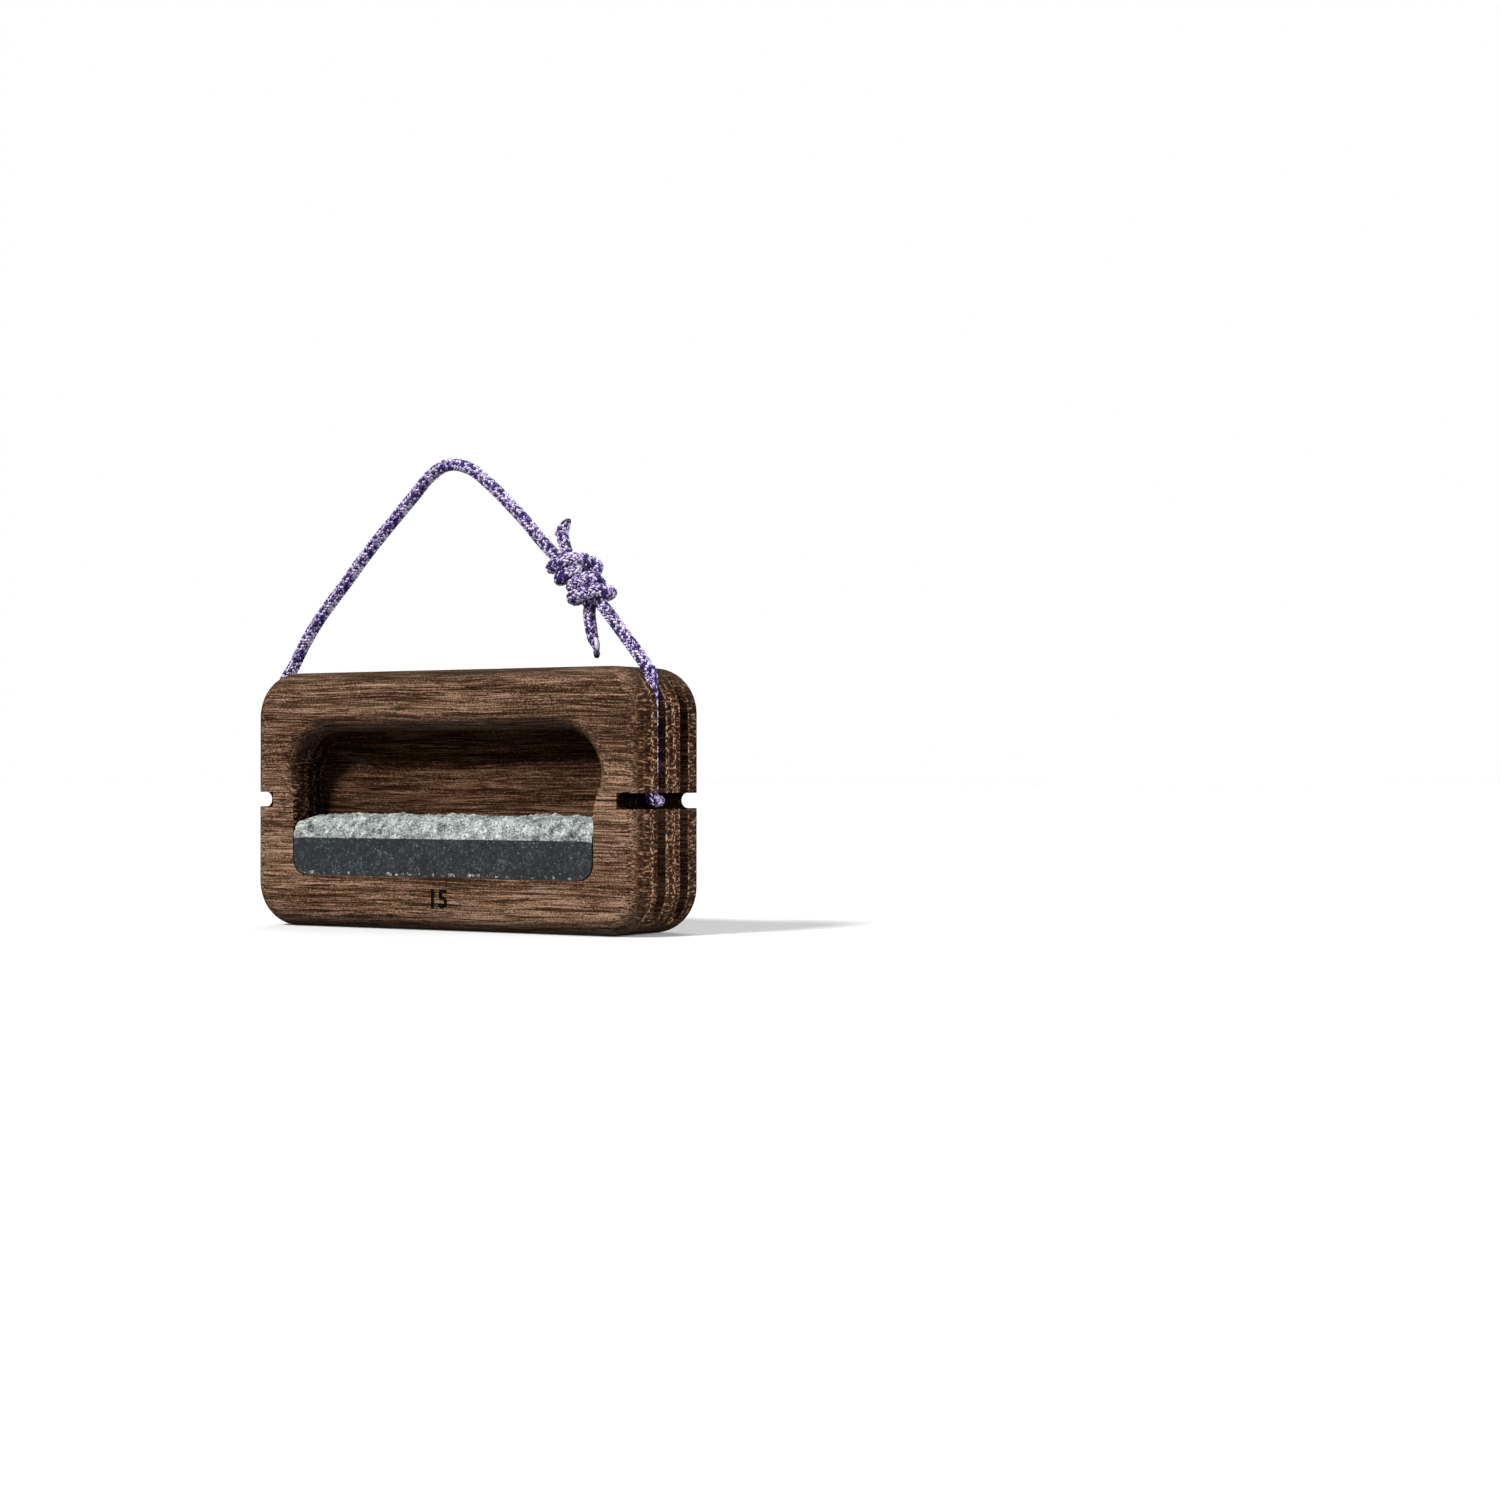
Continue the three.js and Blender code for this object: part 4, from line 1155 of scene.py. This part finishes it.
def painted_recess_shade(tree, place, colour):
    """The oak's colour with painted shade darkening the insides of the pockets and the notches."""
    middle = add_node(tree, "SeparateXYZ", (place,))
    across = add_node(tree, "Math", (middle["X"],), operation="ABSOLUTE")[0]
    # Painted shade: the insides of the pockets are darkened, as their recess is shaded.
    inside = add_node(tree, "Math", (middle["Y"],), operation="ABSOLUTE")[0]
    inside = add_node(tree, "MapRange", (inside, 13, 9), **SMOOTHLY)[0]
    side = POCKET_WIDTH / MM / 2
    within = add_node(tree, "MapRange", (across, side + 2, side))[0]
    painted_pocket_shade = add_node(tree, "Math", (inside, within), operation="MULTIPLY")[0]
    colour = add_node(tree, "Mix", {0: painted_pocket_shade, 6: colour, 7: linear("#b3a9a1")}, **PAINTED_SHADE_MIX)[2]
    # Painted shade: the walls of the level notches are darkened, as their deep inside is shaded.
    level = add_node(tree, "Math", (middle["Z"], BOARD_HEIGHT / MM / 2), operation="SUBTRACT")[0]
    level = add_node(tree, "Math", (level,), operation="ABSOLUTE")[0]
    level = add_node(tree, "Math", (level, NOTCH_HEIGHT / MM / 2 + 0.1), operation="LESS_THAN")[0]
    notch_end = (BOARD_WIDTH / 2 - NOTCH_DEPTH) / MM - 0.5
    past = add_node(tree, "Math", (across, notch_end), operation="GREATER_THAN")[0]
    painted_notch_shade = add_node(tree, "Math", (level, past), operation="MULTIPLY")[0]
    return add_node(tree, "Mix", {0: painted_notch_shade, 6: colour, 7: linear("#59504a")}, **PAINTED_SHADE_MIX)[2]


def smoked_oak(name, burnt):
    """European oak, fumed dark, sanded and thinly oiled: fine streaks of open vessels along the
    grain, and where its end shows, pale curls round the vessels of each growth ring."""
    material, tree = new_material(name)
    coordinates = add_node(tree, "TexCoord")
    place = add_node(tree, "VectorMath", (coordinates["Object"], (MM, MM, MM)), operation="DIVIDE")[0]
    # The grain wanders by a millimetre or so over a few centimetres.
    wander = add_node(tree, "VectorMath", (place, (70, 30, 26)), operation="DIVIDE")[0]
    wander = add_node(tree, "TexNoise", {"Vector": wander, "Scale": 1, "Detail": 1})["Color"]
    wander = add_node(tree, "VectorMath", (wander, (0, 3, 4)), operation="MULTIPLY")[0]
    wood = add_node(tree, "VectorMath", (place, wander), operation="ADD")[0]
    patterns = oak_patterns(tree, wood)
    # The end grain shows by how far the surface is turned towards the board's ends.
    turned = add_node(tree, "SeparateXYZ", (coordinates["Normal"],))
    share = add_node(tree, "Math", (turned["X"],), operation="ABSOLUTE")[0]
    share = add_node(tree, "MapRange", (share, 0.42, 0.8, 0, 0.9), **SMOOTHLY)[0]
    grains = {0: share, 6: long_grain(tree, place, patterns), 7: end_grain(tree, wood, patterns)}
    colour = add_node(tree, "Mix", grains, **COLOURS)[2]
    # Open vessels: thin dark dashes along the grain
    vessels = add_node(tree, "MapRange", (patterns["vessel"], 0.38, 0.2), **SMOOTHLY)[0]
    share = add_node(tree, "Math", (vessels, 0.7), operation="MULTIPLY")[0]
    colour = add_node(tree, "Mix", {0: share, 6: colour, 7: linear("#160c07")}, **COLOURS)[2]
    # Surfaces turned up or down, the rounded edges with the top and bottom, are made greyer and darker: partly the
    # rounded edges' own grey from the finest sanding, partly painted shade over the top and the bottom.
    edge = add_node(tree, "Math", (turned["Z"],), operation="ABSOLUTE")[0]
    edge = add_node(tree, "MapRange", (edge, 0.1, 0.9, 0, 0.62), **SMOOTHLY)[0]
    colour = add_node(tree, "Mix", {0: edge, 6: colour, 7: linear("#2f2721")}, **COLOURS)[2]
    # Painted shade in the pockets and the notches
    colour = painted_recess_shade(tree, place, colour)
    if burnt:
        colour = add_node(tree, "Mix", {0: 0.95, 6: colour, 7: linear("#040302")}, **COLOURS)[2]
    height = add_node(tree, "Math", (vessels, -0.8, patterns["fibre"]), operation="MULTIPLY_ADD")[0]
    bump = add_node(tree, "Bump", {"Height": height, "Strength": 0.7, "Distance": 0.14 * MM})[0]
    finish_material(
        tree, Base_Color=colour, Roughness=0.9 if burnt else 0.66, IOR=1.47, Normal=bump,
        Specular_IOR_Level=0.0,
    )
    return material


def honed_face(tree, place, clouds):
    """The colour of the stone's honed face, bluer towards its left end."""
    colour = add_node(
        tree, "ValToRGB", (clouds["mottle"],),
        ((0.36, "#070809"), (0.46, "#16181a"), (0.54, "#25282a"), (0.68, "#555b5e")),
    )[0]
    bluish = add_node(tree, "SeparateXYZ", (place,))["X"]
    bluish = add_node(tree, "MapRange", (bluish, -2, -46, 0.0, 0.9), **SMOOTHLY)[0]
    drift = add_node(tree, "MapRange", (clouds["drift"], 0.4, 0.62, 0.3, 1), **SMOOTHLY)[0]
    bluish = add_node(tree, "Math", (bluish, drift), operation="MULTIPLY")[0]
    blue = {0: bluish, 6: colour, 7: linear("#aec4d0")}
    colour = add_node(tree, "Mix", blue, blend_type="SOFT_LIGHT", **COLOURS)[2]
    darker = add_node(tree, "MapRange", (clouds["drift"], 0.56, 0.42, 0, 0.5), **SMOOTHLY)[0]
    colour = add_node(tree, "Mix", {0: darker, 6: colour, 7: linear("#0b0d0f")}, **COLOURS)[2]
    flecks = add_node(tree, "MapRange", (clouds["flecks"], 0.66, 0.74, 0, 0.6), **SMOOTHLY)[0]
    return add_node(tree, "Mix", {0: flecks, 6: colour, 7: linear("#a9b0b2")}, **COLOURS)[2]


def split_face(tree, clouds):
    """The colour of the stone where it was split, with dark pits."""
    tone = add_node(tree, "Math", (clouds["patches"], 0.35), operation="MULTIPLY")[0]
    tone = add_node(tree, "Math", (clouds["crystals"], 0.65, tone), operation="MULTIPLY_ADD")[0]
    colour = add_node(
        tree, "ValToRGB", (tone,),
        ((0.38, "#2c3130"), (0.44, "#686e6b"), (0.5, "#959b98"), (0.56, "#bcc2be"), (0.63, "#f4f7f5")),
    )[0]
    pits = add_node(tree, "MapRange", (clouds["pits"], 0.42, 0.33, 0, 0.8), **SMOOTHLY)[0]
    return add_node(tree, "Mix", {0: pits, 6: colour, 7: linear("#232726")}, **COLOURS)[2]


def split_slate():
    """A dense dark slate-like stone: honed and blue-grey in front, with pale mineral flecks, and
    pale grey, grainy and dark-speckled where it was split."""
    material, tree = new_material("honed_and_split_stone")
    place = add_node(tree, "TexCoord")["Object"]
    place = add_node(tree, "VectorMath", (place, (MM, MM, MM)), operation="DIVIDE")[0]
    # Each pattern's size in millimetres, its detail and its roughness
    clouds = {}
    for label, size, detail, roughness in (
        ("mottle", 1.0, 6, 0.8), ("drift", 7, 3, 0.6), ("flecks", 0.6, 2, 0.5),
        ("crystals", 0.62, 4, 0.8), ("patches", 3.0, 3, 0.6), ("pits", 0.95, 3, 0.7),
    ):
        inputs = {"Vector": place, "Scale": 1 / size, "Detail": detail, "Roughness": roughness}
        clouds[label] = add_node(tree, "TexNoise", inputs)[0]
    split = add_node(tree, "Attribute", attribute_name="split")["Fac"]
    split = add_node(tree, "MapRange", (split, 0.4, 0.6))[0]
    faces = {0: split, 6: honed_face(tree, place, clouds), 7: split_face(tree, clouds)}
    colour = add_node(tree, "Mix", faces, **COLOURS)[2]
    height = add_node(tree, "Math", (clouds["crystals"], split), operation="MULTIPLY")[0]
    bump = add_node(tree, "Bump", {"Height": height, "Strength": 1.0, "Distance": 0.7 * MM})[0]
    roughness = add_node(tree, "MapRange", (split, 0, 1, 0.5, 0.95))[0]
    finish_material(
        tree, Base_Color=colour, Roughness=roughness, IOR=1.55, Normal=bump, Specular_IOR_Level=0.15
    )
    return material


def cured_resin():
    """Dark filled epoxy, squeezed to a thin line round the stone: dull and nearly black."""
    material, tree = new_material("cured_resin")
    place = add_node(tree, "TexCoord")["Object"]
    lumps = add_node(tree, "TexNoise", {"Vector": place, "Scale": 1 / (1.5 * MM), "Detail": 3})[0]
    colour = add_node(tree, "ValToRGB", (lumps,), ((0.3, "#0e0c0b"), (0.7, "#211d1a")))[0]
    bump = add_node(tree, "Bump", {"Height": lumps, "Strength": 0.5, "Distance": 0.2 * MM})[0]
    finish_material(tree, Base_Color=colour, Roughness=0.45, IOR=1.5, Normal=bump)
    return material


def braided_polyamide():
    """Accessory cord's sheath of spun-dyed polyamide: flat yarns of fine glossy filaments, some
    purple, some white and some of both. Its cut ends are melted to a dark glossy skin."""
    material, tree = new_material("braided_polyamide")
    tint = add_node(tree, "Attribute", attribute_name="tint")["Fac"]
    yarn = add_node(tree, "UVMap", uv_map="yarn")[0]
    # Plies change places every millimetre or so, and filaments are drawn twice as thick as real.
    patterns = {}
    for label, along, across in (("plies", 0.85, 5), ("filaments", 0.8, 34)):
        sized = add_node(tree, "VectorMath", (yarn, (along, across, 1)), operation="MULTIPLY")[0]
        patterns[label] = add_node(tree, "TexNoise", {"Vector": sized, "Scale": 1, "Detail": 2})[0]
    spread = add_node(tree, "MapRange", (patterns["plies"], 0.34, 0.66, -0.5, 0.6))[0]
    purple = add_node(tree, "Math", (tint, spread), operation="ADD")[0]
    colour = add_node(
        tree, "ValToRGB", (purple,),
        ((0.32, "#d6cbe2"), (0.42, "#9c82bc"), (0.49, "#4a169a"), (0.7, "#2b0a6c"), (1.0, "#190542")),
    )[0]
    shade = add_node(tree, "MapRange", (patterns["filaments"], 0.3, 0.7, 0.66, 1.0))[0]
    # Little light gets down to where a yarn dives under the next.
    rise = add_node(tree, "Attribute", attribute_name="rise")["Fac"]
    open_share = add_node(tree, "MapRange", (rise, -0.2, 0.95, 0.04, 1.0), **SMOOTHLY)[0]
    shade = add_node(tree, "Math", (shade, open_share), operation="MULTIPLY")[0]
    colour = add_node(tree, "Mix", {0: 1.0, 6: colour, 7: shade}, **PAINTED_SHADE_MIX)[2]
    melted = add_node(tree, "MapRange", (tint, 1.4, 1.6))[0]
    colour = add_node(tree, "Mix", {0: melted, 6: colour, 7: linear("#2a1c3c")}, **COLOURS)[2]
    filaments = {"Height": patterns["filaments"], "Strength": 0.6, "Distance": 0.08 * MM}
    bump = add_node(tree, "Bump", filaments)[0]
    roughness = add_node(tree, "MapRange", (melted, 0, 1, 0.55, 0.3))[0]
    finish_material(
        tree, Base_Color=colour, Roughness=roughness, IOR=1.53, Normal=bump, Specular_IOR_Level=0.2
    )
    return material


# The floor and the light

FLOOR_SIZE = 12
FLOOR_GAP = 0.05 * MM
FLOOR_GLOW = 0.12
SKY_LIGHT = 0.06
# The broad lights: name and strength, and in degrees their breadth, pitch and yaw
SUNS = (("key_light", 5.7, 14, 46, -18), ("rear_light", 2.5, 50, -48, 28))
SOFTBOX_PLACE = Vector((1.3, 0.12, 0.45))
SOFTBOX_SIZE = 0.6
SOFTBOX_POWER = 19


def seen_directly(tree):
    """1 for camera, glossy and transmission rays and 0 for the rest."""
    rays = add_node(tree, "LightPath")
    seen = add_node(tree, "Math", (rays["Is Camera Ray"], rays["Is Glossy Ray"]), operation="MAXIMUM")[0]
    return add_node(tree, "Math", (seen, rays["Is Transmission Ray"]), operation="MAXIMUM")[0]


def add_floor():
    """White paper, burnt out in the picture but dimmer in the light that it throws back."""
    bm = bmesh.new()
    bmesh.ops.create_grid(bm, x_segments=1, y_segments=1, size=FLOOR_SIZE)
    bmesh.ops.translate(bm, vec=(0, 0, -FLOOR_GAP), verts=bm.verts)
    floor = object_from(bm, "floor")
    material, tree = new_material("white_paper_floor")
    dim = add_node(tree, "BsdfDiffuse", (linear("#7e7e7e"),))[0]
    paper = add_node(tree, "BsdfDiffuse", (linear("#c0c0c0"),))[0]
    glow = add_node(tree, "Emission", {"Strength": FLOOR_GLOW})[0]
    bright = add_node(tree, "AddShader", (paper, glow))[0]
    surface = add_node(tree, "MixShader", (seen_directly(tree), dim, bright))[0]
    add_node(tree, "OutputMaterial", {"Surface": surface})
    floor.data.materials.append(material)
    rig.stage(floor)


def add_sky():
    world = bpy.data.worlds.new("studio")
    world.use_nodes = True
    tree = world.node_tree
    tree.nodes.clear()
    strength = add_node(tree, "MapRange", (seen_directly(tree), 0, 1, SKY_LIGHT, 1))[0]
    sky = add_node(tree, "Background", {"Color": linear("#ffffff"), "Strength": strength})[0]
    add_node(tree, "OutputWorld", {"Surface": sky})
    bpy.context.scene.world = world


def add_light():
    """A softbox's light from high at the front left, a broad weaker one from the left rear, and
    a small softbox at the right that grazes the end."""
    for name, strength, breadth, pitch, yaw in SUNS:
        data = bpy.data.lights.new(name, "SUN")
        data.energy = strength
        data.angle = math.radians(breadth)
        sun = add_object(name, data)
        sun.rotation_euler = (math.radians(pitch), 0, math.radians(yaw))
    data = bpy.data.lights.new("end_softbox", "AREA")
    data.size = SOFTBOX_SIZE
    data.energy = SOFTBOX_POWER
    softbox = add_object("end_softbox", data)
    softbox.location = SOFTBOX_PLACE
    softbox.rotation_euler = SOFTBOX_PLACE.to_track_quat("Z", "Y").to_euler()
    bpy.context.scene.view_settings.view_transform = "Standard"


add_camera()
oak = smoked_oak("smoked_oak", burnt=False)
burnt_oak = smoked_oak("burnt_oak", burnt=True)
slate = split_slate()
resin = cured_resin()
oak_board(oak, burnt_oak)
stone_bar(
    "front_stone", "front_stone_bar", FRONT_POCKET_DEPTH, slate, seed=FRONT_STONE_SEED, turn=False
)
stone_bar("rear_stone", "rear_stone_bar", REAR_POCKET_DEPTH, slate, seed=REAR_STONE_SEED, turn=True)
for node in ("front_adhesive_bed", "rear_adhesive_bed"):
    frame["nodes"][node].data.materials.clear()
    frame["nodes"][node].data.materials.append(resin)
add_cord(braided_polyamide())
add_floor()
add_sky()
add_light()

box = {"cad": [list(corner) for corner in CAD_BOX], "scene": [list(corner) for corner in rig.bounds()]}
with open("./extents.json", "w") as file:
    json.dump(box, file)
